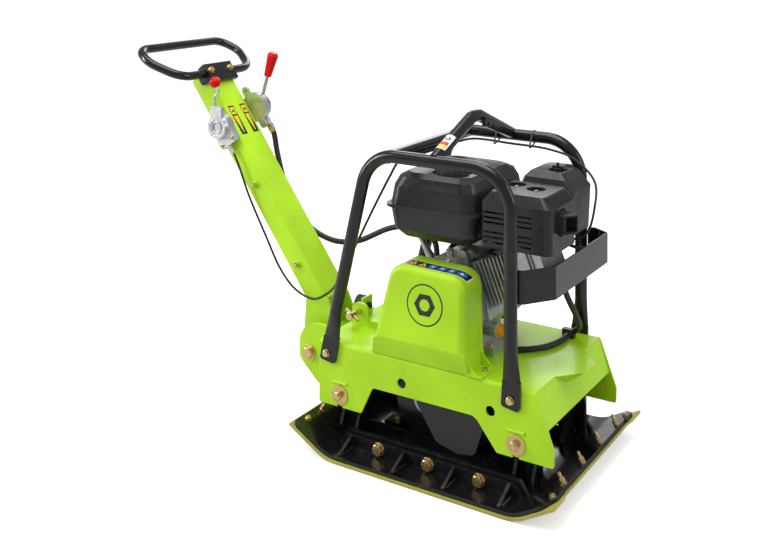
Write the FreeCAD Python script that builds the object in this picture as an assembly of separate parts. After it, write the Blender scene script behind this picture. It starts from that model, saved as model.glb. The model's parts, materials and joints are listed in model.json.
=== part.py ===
import FreeCAD, Part
import math
import os

# Reversible plate compactor, millimetres. +X is forward travel, +Y is left, +Z is up.
# The origin is on the ground, at the centre of the flat part of the sole.

V = FreeCAD.Vector
GAP = 0.05                      # running clearance between pieces that move or bolt together

# --- driving dimensions -------------------------------------------------------------------
FLAT_REAR = 214.0               # the flat part of the sole reaches this far back
FLAT_FRONT = 238.0              # and this far forward
SOLE_BEND = 120.0               # radius of the upturned lips
LIP_ANGLE = math.radians(29.0)
REAR_TIP = 357.0                # reach of the mat behind the centre
FRONT_TIP = 366.0               # reach of the mat in front of the centre
MAT = 7.0                       # polyurethane mat thickness
PLATE = 9.0                     # sole plate thickness
PLATE_TOP = MAT + PLATE
MAIN_HALF = 199.0               # half width of the main plate
EXT_IN = 201.0
EXT_OUT = 275.0
MAT_HALF = 280.0
EXT_BOLT_X = (-129.0, 11.0, 148.0)
EXT_BOLT_Z = 33.0
RIB_X = (-212.0, -58.0, 80.0, 224.0)

SHAFT_X = 62.0                  # each exciter shaft stands this far from the centre
SHAFT_Z = 125.0
GEAR_R = SHAFT_X

HOOD_HALF = 200.0
HOOD_TOP = 262.0
SHEET = 5.0
HOOD_REAR = -319.0
HOOD_FRONT = 285.0
MOUNT_X = (-255.0, 236.0)
MOUNT_Z = 132.5
CAGE_BOLT_X = (-290.0, 226.0)
CAGE_BOLT_Z = 234.0
CAGE_TOP = 757.0
TUBE_R = 16.0
TUBE_WALL = 2.5
CAGE_BEND = 97.0
BOW_X = 26.0
CROSSBAR_X = -105.0

CRANK_X = 3.0
CRANK_Z = 400.0
BELT_Y = -166.0                 # middle plane of the belt drive
CYL_TILT = math.radians(22.0)

PIVOT_X = -428.0
PIVOT_Z = 170.0
BAR_TILT = math.asin(0.6)       # the drawbar leans back from the vertical by this angle
BAR_HALF = 50.0
BAR_REAR = 35.0                 # rear face of the drawbar, measured square from the pivot line
BAR_FRONT = 101.0
BAR_LENGTH = 835.0
EAR_IN = 84.0
EAR_OUT = 96.0
BUSH_IN = BAR_HALF + 0.3        # rubber discs between the drawbar and the ears
BUSH_OUT = 60.0
BUSH_R = 58.0

THROTTLE_X = -773.0
THROTTLE_Z = 742.0
PUMP_X = -744.0
PUMP_Z = 785.0
LOCK_X = -283.0
LOCK_Z = 300.0


# --- helpers ------------------------------------------------------------------------------
def save(name, solids):
    """Write one node; solids is a single solid or a list of separate solids."""
    if isinstance(solids, list):
        shape = Part.makeCompound(solids)
    else:
        shape = solids
    shape.exportStep("parts/" + name + ".step")


def box(x0, x1, y0, y1, z0, z1):
    return Part.makeBox(x1 - x0, y1 - y0, z1 - z0, V(x0, y0, z0))


def rod(start, end, radius):
    axis = end - start
    return Part.makeCylinder(radius, axis.Length, start, axis)


def rod_y(x, z, y0, y1, radius):
    return rod(V(x, y0, z), V(x, y1, z), radius)


def fuse(shapes):
    return shapes[0].multiFuse(shapes[1:]).removeSplitter()


def mirrored(shape):
    return shape.mirror(V(0, 0, 0), V(0, 1, 0))


def pair(shape):
    """A shape and its twin on the other side of the machine."""
    return [shape, mirrored(shape)]


def rounded_corner(before, point, after, radius):
    """Start, middle and end of the arc that rounds one corner; all three equal if sharp."""
    if radius <= 0:
        return point, point, point
    inward = (before - point).normalize()
    outward = (after - point).normalize()
    half = inward.getAngle(outward) / 2
    reach = radius / math.tan(half)
    bisector = (inward + outward).normalize()
    centre = point + bisector * (radius / math.sin(half))
    middle = centre - bisector * radius
    return point + inward * reach, middle, point + outward * reach


def path_edges(corners, closed):
    """Lines and arcs through rounded corners."""
    edges = []
    count = len(corners)
    for index, (start, middle, end) in enumerate(corners):
        if (start - end).Length > 1e-6:
            edges.append(Part.Arc(start, middle, end).toShape())
        if index + 1 < count or closed:
            following = corners[(index + 1) % count][0]
            if (following - end).Length > 1e-6:
                edges.append(Part.makeLine(end, following))
    return edges


def outline(points, radius):
    """Closed wire through points; radius is one number, or one per corner."""
    count = len(points)
    radii = radius if isinstance(radius, (list, tuple)) else [radius] * count
    corners = []
    for index in range(count):
        before = points[index - 1]
        after = points[(index + 1) % count]
        corners.append(rounded_corner(before, points[index], after, radii[index]))
    return Part.Wire(path_edges(corners, True))


def prism_y(points, y0, y1, radius=0.0):
    """Outline in X and Z, extruded along Y."""
    wire = outline([V(x, y0, z) for x, z in points], radius)
    return Part.Face(wire).extrude(V(0, y1 - y0, 0))


def prism_z(points, z0, z1, radius=0.0):
    wire = outline([V(x, y, z0) for x, y in points], radius)
    return Part.Face(wire).extrude(V(0, 0, z1 - z0))


def prism_x(points, x0, x1, radius=0.0):
    wire = outline([V(x0, y, z) for y, z in points], radius)
    return Part.Face(wire).extrude(V(x1 - x0, 0, 0))


def rectangle_wire(x0, x1, y0, y1, z, radius):
    return outline([V(x0, y0, z), V(x1, y0, z), V(x1, y1, z), V(x0, y1, z)], radius)


def loft(wires):
    return Part.makeLoft(wires, True, True)


def sweep(points, radius, bend):
    """Solid round bar along a path whose corners are bent to one radius, or one per corner."""
    bends = bend if isinstance(bend, (list, tuple)) else [bend] * (len(points) - 2)
    corners = [(points[0], points[0], points[0])]
    for index in range(1, len(points) - 1):
        corner = rounded_corner(points[index - 1], points[index], points[index + 1], bends[index - 1])
        corners.append(corner)
    corners.append((points[-1], points[-1], points[-1]))
    spine = Part.Wire(path_edges(corners, False))
    profile = Part.Wire([Part.makeCircle(radius, points[0], points[1] - points[0])])
    return spine.makePipeShell([profile], True, False)


def tube(points, bend, radius=TUBE_R, wall=TUBE_WALL):
    return sweep(points, radius, bend).cut(sweep(points, radius - wall, bend))


def hexagon(point, direction, across_flats, height):
    """Hexagonal prism with its outer corners chamfered, standing on point along direction."""
    corner_r = across_flats / math.sqrt(3)
    direction = V(direction).normalize()
    side = V(0, 0, 1) if abs(direction.z) < 0.9 else V(1, 0, 0)
    first = direction.cross(side).normalize()
    second = direction.cross(first)
    ring = []
    for step in range(6):
        angle = math.radians(60 * step)
        ring.append(point + first * (corner_r * math.cos(angle)) + second * (corner_r * math.sin(angle)))
    prism = Part.Face(outline(ring, 0)).extrude(direction * height)
    chamfer = corner_r * 0.12
    blank = Part.makeCylinder(corner_r, height - chamfer, point, direction)
    tip = point + direction * (height - chamfer)
    cone = Part.makeCone(corner_r, corner_r - chamfer * 1.6, chamfer, tip, direction)
    return prism.common(blank.fuse(cone))


def bolt(point, direction, thread, length, washer=2.4):
    """Hexagon bolt: point is on the bearing surface, direction points out of it to the head."""
    direction = V(direction).normalize()
    seat = point + direction * (thread * 0.2)
    parts = [
        Part.makeCylinder(thread * washer / 2.4, thread * 0.2, point, direction),
        hexagon(seat, direction, thread * 1.55, thread * 0.65),
        Part.makeCylinder(thread / 2, length + thread * 0.2, point - direction * length, direction),
    ]
    return fuse(parts)


def spin(x, z, points, y0):
    """Solid of revolution about a Y axis through x, z; points are radius and y offset."""
    face = Part.Face(Part.makePolygon([V(x + r, y0 + y, z) for r, y in points + points[:1]]))
    return face.revolve(V(x, 0, z), V(0, 1, 0), 360)


# --- sole and base plate ------------------------------------------------------------------
def lip_reach(sign):
    """Flat length and total length of the sole behind (-1) or in front of (1) the centre."""
    return (FLAT_REAR, REAR_TIP) if sign < 0 else (FLAT_FRONT, FRONT_TIP)


def lip_point(sign, distance, depth):
    """Point on a lip: distance along its straight part, depth above the ground surface."""
    radius = SOLE_BEND - depth
    x = lip_reach(sign)[0] + radius * math.sin(LIP_ANGLE) + distance * math.cos(LIP_ANGLE)
    z = SOLE_BEND - radius * math.cos(LIP_ANGLE) + distance * math.sin(LIP_ANGLE)
    return x * sign, z


def sole_strip(depth0, depth1, y0, y1, rear_trim=0.0, front_trim=0.0):
    """Strip of the sole between two heights above the ground surface, curved up at both ends."""
    def side(depth, sign, trim):
        flat, tip = lip_reach(sign)
        along = (tip - flat - SOLE_BEND * math.sin(LIP_ANGLE)) / math.cos(LIP_ANGLE) - trim
        radius = SOLE_BEND - depth
        half = LIP_ANGLE / 2
        start = V(sign * flat, y0, depth)
        middle = V(sign * (flat + radius * math.sin(half)), y0, SOLE_BEND - radius * math.cos(half))
        bend = lip_point(sign, 0, depth)
        end = lip_point(sign, along, depth)
        return start, middle, V(bend[0], y0, bend[1]), V(end[0], y0, end[1])

    edges = []
    ends = []
    for depth in (depth0, depth1):
        rear = side(depth, -1, rear_trim)
        front = side(depth, 1, front_trim)
        edges.append(Part.makeLine(rear[3], rear[2]))
        edges.append(Part.Arc(rear[2], rear[1], rear[0]).toShape())
        edges.append(Part.makeLine(rear[0], front[0]))
        edges.append(Part.Arc(front[0], front[1], front[2]).toShape())
        edges.append(Part.makeLine(front[2], front[3]))
        ends.append((rear[3], front[3]))
    edges.append(Part.makeLine(ends[0][0], ends[1][0]))
    edges.append(Part.makeLine(ends[0][1], ends[1][1]))
    wire = Part.Wire(Part.__sortEdges__(edges))
    return Part.Face(wire).extrude(V(0, y1 - y0, 0))


LIP_NORMALS = {sign: V(-sign * math.sin(LIP_ANGLE), 0, math.cos(LIP_ANGLE)) for sign in (-1, 1)}
STUD_Y = (57.0, 170.0)           # threaded studs through the main plate
SCREW_Y = (233.0,)              # plain screws through the extension plates
STUD_DISTANCE = {-1: 76.0, 1: 60.0}
STUD_R = 4.0


def lip_places(rows):
    """Seats on the lips at each row's distance from the centre line, on both sides and both ends."""
    places = []
    for sign in (-1, 1):
        x, z = lip_point(sign, STUD_DISTANCE[sign], PLATE_TOP)
        for y in rows:
            places.append((V(x, y, z), LIP_NORMALS[sign]))
            places.append((V(x, -y, z), LIP_NORMALS[sign]))
    return places


def stud_holes():
    holes = []
    for point, normal in lip_places(STUD_Y + SCREW_Y):
        holes.append(rod(point - normal * 30, point + normal * 10, STUD_R + GAP))
    return holes


EXCITER_FOOT_BOLTS = [(x, y) for x in (-172.0, 172.0) for y in (-55.0, 55.0)]


def build_sole_mat():
    mat = sole_strip(0, MAT - 0.02, -MAT_HALF, MAT_HALF)
    recess = prism_z([(FRONT_TIP - 7, -MAIN_HALF), (FRONT_TIP + 9, -MAIN_HALF - 60),
                      (FRONT_TIP + 9, MAIN_HALF + 60), (FRONT_TIP - 7, MAIN_HALF)], -5, 120)
    save("sole_mat", mat.cut([recess] + stud_holes()))


def mount_post(x):
    """Upright bracket that carries one rubber mount, on the left side."""
    post_in, post_out = 128.0, 140.0
    plate = prism_y([(x - 36, PLATE_TOP - 2), (x + 36, PLATE_TOP - 2), (x + 36, 172), (x - 36, 172)],
                    post_in, post_out, (0, 0, 22, 22))
    web = prism_x([(post_in + 1, PLATE_TOP - 2), (post_in + 1, 160), (post_in - 14, 160),
                   (62, PLATE_TOP + 16), (62, PLATE_TOP - 2)], x - 6, x + 6)
    skirt = prism_x([(post_out - 1, PLATE_TOP - 2), (post_out - 1, 84), (post_out + 34, PLATE_TOP - 2)],
                    x - 28, x - 20)
    twin = skirt.translated(V(48, 0, 0))
    return fuse([plate, web, skirt, twin])


def build_base_plate():
    parts = [sole_strip(MAT, PLATE_TOP, -MAIN_HALF, MAIN_HALF, 6, 9)]
    flange = [(-258, PLATE_TOP - 4), (-230, 53), (244, 53), (272, PLATE_TOP - 4)]
    rail = [(-250, PLATE_TOP - 4), (-238, 46), (250, 46), (262, PLATE_TOP - 4)]
    parts += pair(prism_y(flange, MAIN_HALF - 11, MAIN_HALF - 1))
    parts += pair(prism_y(rail, 112, 120))
    for x in MOUNT_X:
        parts += pair(mount_post(x))
    for x, y in EXCITER_FOOT_BOLTS:
        parts.append(box(x - 22, x + 22, y - 22, y + 22, PLATE_TOP - 2, PLATE_TOP + 6))
    plate = fuse(parts)
    tools = [sole_strip(-20, MAT, -300, 300)] + stud_holes()
    for x in EXT_BOLT_X:
        tools.append(rod_y(x, EXT_BOLT_Z, -MAIN_HALF, MAIN_HALF, 8 + GAP))
    for x in MOUNT_X:
        tools.append(rod_y(x, MOUNT_Z, -150, 150, 6 + GAP))
    for x, y in EXCITER_FOOT_BOLTS:
        tools.append(rod(V(x, y, PLATE_TOP - 6), V(x, y, PLATE_TOP + 8), 6 + GAP))
    save("base_plate", plate.cut(tools))


def build_extension_plates():
    """Bolt-on widening plates with an upright flange and four gussets each."""
    strip = sole_strip(MAT, PLATE_TOP, EXT_IN, EXT_OUT, 6, 6)
    rear_edge = -REAR_TIP + 8
    plan = prism_z([(rear_edge, EXT_IN - 9), (FRONT_TIP + 20, EXT_IN - 9), (FRONT_TIP + 6, EXT_IN + 22),
                    (FRONT_TIP - 36, EXT_OUT), (rear_edge, EXT_OUT)], -5, 120, (0, 0, 12, 16, 16))
    flange = prism_y([(-250, PLATE_TOP - 4), (-226, 46), (236, 46), (262, PLATE_TOP - 4)],
                     EXT_IN, EXT_IN + 10, (0, 12, 12, 0))
    parts = [strip.common(plan), flange]
    for x in RIB_X:
        rib = prism_x([(EXT_IN + 9, PLATE_TOP - 2), (EXT_IN + 9, 45), (EXT_OUT - 8, PLATE_TOP + 2),
                       (EXT_OUT - 8, PLATE_TOP - 2)], x - 4, x + 4)
        parts.append(rib)
    tools = [sole_strip(-20, MAT, -300, 300)] + stud_holes()
    for x in EXT_BOLT_X:
        tools.append(rod_y(x, EXT_BOLT_Z, 190, 230, 8 + GAP))
    left = fuse(parts).cut(tools)
    save("extension_plate_left", left)
    save("extension_plate_right", mirrored(left))


def build_base_fasteners():
    bolts = []
    for x in EXT_BOLT_X:
        screw = bolt(V(x, EXT_IN + 10 + GAP, EXT_BOLT_Z), V(0, 1, 0), 16, 38)
        nut = hexagon(V(x, MAIN_HALF - 11 - GAP, EXT_BOLT_Z), V(0, -1, 0), 24, 13)
        bolts += pair(screw.fuse(nut))
    for x, y in EXCITER_FOOT_BOLTS:
        bolts.append(bolt(V(x, y, PLATE_TOP + 22 + GAP), V(0, 0, 1), 12, 24))
    save("extension_bolts", bolts)
    studs = []
    for point, normal in lip_places(STUD_Y):
        seat = point + normal * GAP
        studs.append(fuse([rod(point - normal * 13, point + normal * 27, STUD_R),
                           Part.makeCylinder(8.5, 1.8, seat, normal),
                           hexagon(seat + normal * 1.8, normal, 13, 6.5),
                           hexagon(seat + normal * 8.6, normal, 13, 6.5)]))
    for point, normal in lip_places(SCREW_Y):
        studs.append(bolt(point + normal * GAP, normal, 2 * STUD_R, 13, 2.6))
    save("mat_bolts", studs)


# --- exciter ------------------------------------------------------------------------------
HOUSING_HALF = 100.0
HOUSING_R = 77.0
CAVITY_R = 68.0
COVER_T = 12.0
JOURNAL_R = 15.0


def stadium(radius, y0, y1):
    """Two Y cylinders on the exciter shafts, joined by a block as wide as they are."""
    block = box(-SHAFT_X, SHAFT_X, y0, y1, SHAFT_Z - radius, SHAFT_Z + radius)
    return fuse([block, rod_y(-SHAFT_X, SHAFT_Z, y0, y1, radius), rod_y(SHAFT_X, SHAFT_Z, y0, y1, radius)])


def build_exciter_housing():
    seat = PLATE_TOP + 6 + GAP
    pedestal = box(-130, 130, -84, 84, seat, SHAFT_Z)
    feet = box(-196, 196, -82, 82, seat, seat + 16)
    body = fuse([stadium(HOUSING_R, -HOUSING_HALF, HOUSING_HALF), pedestal, feet])
    ribs = []
    for y in (-50.0, 0.0, 50.0):
        ribs.append(stadium(HOUSING_R + 5, y - 4, y + 4))
    body = fuse([body] + ribs).cut(stadium(CAVITY_R, -HOUSING_HALF - 1, HOUSING_HALF + 1))
    tools = []
    for x, y in EXCITER_FOOT_BOLTS:
        tools.append(rod(V(x, y, seat - 1), V(x, y, seat + 20), 6 + GAP))
    save("exciter_housing", body.cut(tools))


def build_exciter_covers():
    covers = []
    for side in (-1, 1):
        inner = side * (HOUSING_HALF + GAP)
        outer = side * (HOUSING_HALF + COVER_T)
        cover = stadium(HOUSING_R, min(inner, outer), max(inner, outer))
        tools = []
        for x in (-SHAFT_X, SHAFT_X):
            tools.append(rod_y(x, SHAFT_Z, min(inner, outer) - 1, max(inner, outer) + 1, 26))
        covers.append(cover.cut(tools))
    save("exciter_covers", covers)


def build_exciter_bearings():
    """A ring at each end of each shaft, held in its end cover."""
    rings = []
    for side in (-1, 1):
        y0 = side * (HOUSING_HALF + 0.5)
        y1 = side * (HOUSING_HALF + COVER_T - 0.5)
        for x in (-SHAFT_X, SHAFT_X):
            ring = rod_y(x, SHAFT_Z, min(y0, y1), max(y0, y1), 26 - GAP)
            rings.append(ring.cut(rod_y(x, SHAFT_Z, min(y0, y1) - 1, max(y0, y1) + 1, JOURNAL_R + GAP)))
    save("exciter_bearings", rings)


def timing_gear(x, phase):
    """Spur gear whose teeth are trapezoids; phase is in tooth pitches."""
    teeth = 24
    root, tip = GEAR_R - 3.2, GEAR_R + 2.4
    blank = rod_y(x, SHAFT_Z, 66, 84, root)
    pitch = 2 * math.pi / teeth
    parts = [blank]
    for index in range(teeth):
        angle = (index + phase) * pitch
        corners = []
        for radius, half in ((root - 1, 0.22), (tip, 0.11)):
            corners.append((radius, angle - half * pitch))
            corners.append((radius, angle + half * pitch))
        order = (0, 1, 3, 2)
        points = []
        for i in order:
            reach, heading = corners[i]
            points.append((x + reach * math.cos(heading), SHAFT_Z + reach * math.sin(heading)))
        parts.append(prism_y(points, 66, 84))
    gear = fuse(parts)
    return gear.cut(rod_y(x, SHAFT_Z, 60, 90, 20 + GAP))


def eccentric_shaft(x, pulley_end):
    """Shaft with a half-round eccentric weight; the drive end passes out to the pulley."""
    near_end = -182.0 if pulley_end else -HOUSING_HALF - COVER_T - 1
    journal = rod_y(x, SHAFT_Z, near_end, HOUSING_HALF + COVER_T - 1, JOURNAL_R)
    core = rod_y(x, SHAFT_Z, -94, 94, 20)
    weight = rod_y(x, SHAFT_Z, -84, 56, 56).common(box(x - 60, x + 60, -90, 60, SHAFT_Z - 60, SHAFT_Z - 6))
    return fuse([journal, core, weight])


def groove_pulley(x, z, pitch_r, bore_r):
    """V-belt pulley: flanges, groove floor and bore."""
    half, groove = 12.0, 6.9
    rim = pitch_r + 8
    profile = [(bore_r, -half), (rim, -half), (rim, -groove), (pitch_r - 0.3, -groove),
               (pitch_r - 0.3, groove), (rim, groove), (rim, half), (bore_r, half)]
    return spin(x, z, profile, BELT_Y)


EXCITER_PULLEY_R = 36.0
CLUTCH_R = 52.0


def build_exciter_shafts():
    save("eccentric_shaft_front", [eccentric_shaft(SHAFT_X, True), timing_gear(SHAFT_X, 0.0)])
    save("eccentric_shaft_rear", [eccentric_shaft(-SHAFT_X, False), timing_gear(-SHAFT_X, 0.5)])
    save("exciter_pulley", groove_pulley(SHAFT_X, SHAFT_Z, EXCITER_PULLEY_R, JOURNAL_R + GAP))


def build_phase_cylinder():
    """Hydraulic cylinder on the left cover that shifts the rear shaft's phase."""
    start = HOUSING_HALF + COVER_T + GAP
    flange = rod_y(-SHAFT_X, SHAFT_Z, start, start + 8, 38)
    barrel = rod_y(-SHAFT_X, SHAFT_Z, start, start + 46, 25)
    port = rod(V(-SHAFT_X, start + 34, SHAFT_Z), V(-SHAFT_X, start + 34, SHAFT_Z + 40), 9)
    save("phase_cylinder", fuse([flange, barrel, port]))


# --- rubber mounts and hood ---------------------------------------------------------------
RUBBER_IN = 140.0 + GAP
RUBBER_OUT = 187.0


def build_rubber_mounts():
    rubbers = []
    for x in MOUNT_X:
        rubbers += pair(rod_y(x, MOUNT_Z, RUBBER_IN, RUBBER_OUT, 31))
    save("rubber_mounts", rubbers)
    bolts = []
    for x in MOUNT_X:
        disc = rod_y(x, MOUNT_Z, RUBBER_OUT + GAP, HOOD_HALF - SHEET - GAP, 31)
        stud = rod_y(x, MOUNT_Z, RUBBER_OUT + 1, HOOD_HALF + 16, 6)
        washer = rod_y(x, MOUNT_Z, HOOD_HALF + GAP, HOOD_HALF + 3, 24)
        nut = hexagon(V(x, HOOD_HALF + 3, MOUNT_Z), V(0, 1, 0), 19, 10)
        bolts += pair(fuse([disc, stud, washer, nut]))
    save("mount_bolts", bolts)


SKIRT = [(HOOD_REAR, 101), (-190, 101), (-156, 172), (130, 172), (187, 101), (329, 101), (330, 140),
         (HOOD_FRONT, HOOD_TOP), (HOOD_REAR, HOOD_TOP)]
SKIRT_RADII = [8, 6, 14, 30, 8, 5, 5, 0, 0]
PANEL_FOOT = (311.0, 177.0)
NOSE_X = 338.0                  # tip of the folded wedge on the hood's front edge
NOSE_LOW_Z = 233.0
ENGINE_BOLTS = [(x, y) for x in (-70.0, 92.0) for y in (-46.0, 46.0)]
ENGINE_FOOT = (-92.0, 112.0, -67.0, 64.0)


def hood_nose():
    """Folded wedge in the middle of the front edge."""
    slope = (PANEL_FOOT[0] - HOOD_FRONT) / (HOOD_TOP - PANEL_FOOT[1])
    low_x = HOOD_FRONT + (HOOD_TOP - NOSE_LOW_Z) * slope
    a = V(HOOD_FRONT, -97, HOOD_TOP)
    b = V(NOSE_X, -39, HOOD_TOP)
    c = V(NOSE_X, 30, HOOD_TOP)
    d = V(HOOD_FRONT, 95, HOOD_TOP)
    e = V(low_x, -47, NOSE_LOW_Z)
    f = V(low_x, 38, NOSE_LOW_Z)
    faces = []
    for ring in ((a, b, c, d), (a, e, b), (b, e, f, c), (c, f, d), (a, d, f, e)):
        faces.append(Part.Face(Part.makePolygon(list(ring) + [ring[0]])))
    return Part.Solid(Part.Shell(faces))


def build_hood():
    inner = HOOD_HALF - SHEET
    outside = prism_x([(-HOOD_HALF, 60), (HOOD_HALF, 60), (HOOD_HALF, HOOD_TOP), (-HOOD_HALF, HOOD_TOP)],
                      HOOD_REAR, 332, (0, 0, 9, 9))
    inside = prism_x([(-inner, 50), (inner, 50), (inner, HOOD_TOP - SHEET), (-inner, HOOD_TOP - SHEET)],
                     HOOD_REAR - 1, 333, (0, 0, 4, 4))
    channel = outside.cut(inside).common(prism_y(SKIRT, -HOOD_HALF - 1, HOOD_HALF + 1, SKIRT_RADII))
    front = prism_y([(HOOD_FRONT, HOOD_TOP - 0.5), PANEL_FOOT, (PANEL_FOOT[0] - 4.8, PANEL_FOOT[1] - 1.5),
                     (HOOD_FRONT - 5.2, HOOD_TOP - 0.5)], -inner - 1, inner + 1)
    rear = box(HOOD_REAR, HOOD_REAR + SHEET, -inner - 1, inner + 1, 128, HOOD_TOP - 1)
    shell = fuse([channel, front, rear])
    extras = [hood_nose()]
    for x in MOUNT_X:
        bead = rod(V(x - 22, HOOD_HALF, 162), V(x + 22, HOOD_HALF, 162), 4)
        extras += pair(bead)
    ear = prism_y([(HOOD_REAR + 2, 250), (-462, 250), (-462, 150), (-398, 92), (HOOD_REAR + 2, 92)],
                  EAR_IN, EAR_OUT, (0, 60, 30, 16, 0))
    extras += pair(ear)
    extras += pair(rod_y(PIVOT_X, PIVOT_Z, BUSH_OUT + 0.6, EAR_IN + 1, 28))
    for side in (-1, 1):
        edge_y = side * (EAR_IN + EAR_OUT) / 2
        extras.append(box(HOOD_REAR - 1, HOOD_REAR + 60, edge_y - 4, edge_y + 4, 200, HOOD_TOP - 1))
    latch = prism_y([(-306, 258), (-306, LOCK_Z + 22), (-258, LOCK_Z + 22), (-254, 280), (-152, 280),
                     (-152, 258)], -70, -62, (0, 20, 20, 14, 4, 0))
    stop_plate = box(-308, -302, -24, 22, HOOD_TOP - 2, 316)
    rails = []
    rail_x0, rail_x1 = ENGINE_FOOT[0] - 10, ENGINE_FOOT[1] + 10
    for y in (-46.0, 46.0):
        rails.append(box(rail_x0, rail_x1, y - 18, y + 18, HOOD_TOP - 12, HOOD_TOP - 4))
    shell = fuse([shell, latch, stop_plate] + extras + rails)
    tools = [box(-72, 120, BELT_Y - 20, BELT_Y + 22, HOOD_TOP - 20, HOOD_TOP + 4)]
    tools.append(rod_y(LOCK_X, LOCK_Z, -75, -55, 8 + GAP))
    tools.append(rod(V(-330, 0, 292), V(-290, 0, 292), 5 + GAP))
    tools.append(rod(V(-150, 112, 240), V(-150, 112, 280), 14))
    for x, z in ((-71.5, 202), (170.6, 193)):
        tools.append(rod_y(x, z, -HOOD_HALF - 5, HOOD_HALF + 5, 12.2))
    for x in MOUNT_X:
        tools.append(rod_y(x, MOUNT_Z, -HOOD_HALF - 5, HOOD_HALF + 5, 6 + GAP))
        slot = box(x - 8, x + 8, HOOD_HALF - 10, HOOD_HALF + 10, 99, MOUNT_Z - 20)
        tools += pair(slot)
    for x in CAGE_BOLT_X:
        tools.append(rod_y(x, CAGE_BOLT_Z, -HOOD_HALF - 5, HOOD_HALF + 5, 5 + GAP))
    tools.append(rod_y(PIVOT_X, PIVOT_Z, -110, 110, 10 + GAP))
    for x, y in ENGINE_BOLTS:
        tools.append(rod(V(x, y, HOOD_TOP - 20), V(x, y, HOOD_TOP + 4), 5 + GAP))
    for x, y in COVER_BOLTS:
        tools.append(rod(V(x, y, HOOD_TOP - 20), V(x, y, HOOD_TOP + 4), 4 + GAP))
    clip = V(HOSE_CLIP_X, HOSE_CLIP_Y, HOOD_TOP)
    tools.append(rod(clip - V(0, 0, 9), clip + V(0, 0, 4), 4 + GAP))
    save("hood", shell.cut(tools))


# --- roll cage ----------------------------------------------------------------------------
HOOP_Y = HOOD_HALF + TUBE_R - 5.0
HOOP_LEAN = math.tan(math.radians(13.6))
HOOP_START = 345.0              # the hoop is a plain tube above this height
HOOP_REAR = CAGE_BOLT_X[0] + 4
HOOP_FRONT = CAGE_BOLT_X[1] + 2


def hoop_path(y):
    return [V(HOOP_REAR + (HOOP_START - CAGE_BOLT_Z) * HOOP_LEAN, y, HOOP_START),
            V(HOOP_REAR + (CAGE_TOP - CAGE_BOLT_Z) * HOOP_LEAN, y, CAGE_TOP),
            V(HOOP_FRONT, y, CAGE_TOP), V(HOOP_FRONT, y, HOOP_START)]


def hoop():
    """One side hoop on the left: bent tube whose ends flatten into bolt tabs."""
    start_z = HOOP_START
    path = hoop_path(HOOP_Y)
    parts = [tube(path, CAGE_BEND)]
    tab_y = HOOD_HALF + 4.6
    for top, slope in ((path[0], HOOP_LEAN), (path[-1], 0.0)):
        low_z = CAGE_BOLT_Z + 42
        low = V(top.x - (start_z - low_z) * slope, tab_y, low_z)
        along = V(slope, 0, 1).normalize()
        across = V(along.z, 0, -along.x)
        flat = Part.Ellipse(low + across * 23, low + V(0, 4.4, 0), low)
        upper = Part.Wire([Part.makeCircle(TUBE_R, top, along)])
        lower = Part.Wire([flat.toShape()])
        parts.append(Part.makeLoft([upper, lower], True, False))
        foot_x = top.x - (start_z - CAGE_BOLT_Z) * slope
        tab = [(low.x - 22.5, low_z + 2), (low.x + 22.5, low_z + 2), (foot_x + 20, CAGE_BOLT_Z - 24),
               (foot_x - 26, CAGE_BOLT_Z - 17)]
        parts.append(prism_y(tab, tab_y - 4.4, tab_y + 4.4, (0, 0, 7, 7)))
    shape = fuse(parts)
    tools = [rod_y(x, CAGE_BOLT_Z, 180, 230, 5 + GAP) for x in CAGE_BOLT_X]
    return shape.cut(tools)


def build_cage():
    save("cage_hoops", pair(hoop()))
    cope = [sweep(hoop_path(side * HOOP_Y), TUBE_R + GAP, CAGE_BEND) for side in (-1, 1)]
    feet_z = CAGE_TOP + 3
    apex_z = 832.0
    path = [V(BOW_X, -HOOP_Y, feet_z), V(BOW_X, -14, apex_z + 6), V(BOW_X, 14, apex_z + 6),
            V(BOW_X, HOOP_Y, feet_z)]
    bow = tube(path, 60)
    slope = (apex_z + 6 - feet_z) / (HOOP_Y - 14)
    ear = prism_x([(20, apex_z - 2), (20, apex_z - 24), (HOOP_Y - 30, feet_z - 18 + 30 * slope),
                   (HOOP_Y - 30, feet_z + 30 * slope)], BOW_X + 10, BOW_X + TUBE_R + 4, 2)
    ear = ear.cut([rod(V(BOW_X, 36, apex_z - 19), V(BOW_X + 40, 36, apex_z - 19), 5),
                   rod(V(BOW_X, 62, apex_z - 29), V(BOW_X + 40, 62, apex_z - 29), 5)])
    save("lifting_bow", fuse([bow, ear]).cut(cope))
    ends = [V(CROSSBAR_X, -HOOP_Y, CAGE_TOP - 4), V(CROSSBAR_X, HOOP_Y, CAGE_TOP - 4)]
    bar = rod(ends[0], ends[1], TUBE_R).cut(rod(ends[0], ends[1], TUBE_R - TUBE_WALL))
    save("cage_crossbar", bar.cut(cope))
    bolts = []
    for x in CAGE_BOLT_X:
        bolts += pair(bolt(V(x, HOOD_HALF + 9.1, CAGE_BOLT_Z), V(0, 1, 0), 10, 16))
    save("cage_bolts", bolts)


# --- belt drive covers --------------------------------------------------------------------
COVER_BOLTS = [(137.0, -160.0)]
COVER_FACE = -218.0
COVER_BACK = -116.0


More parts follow.
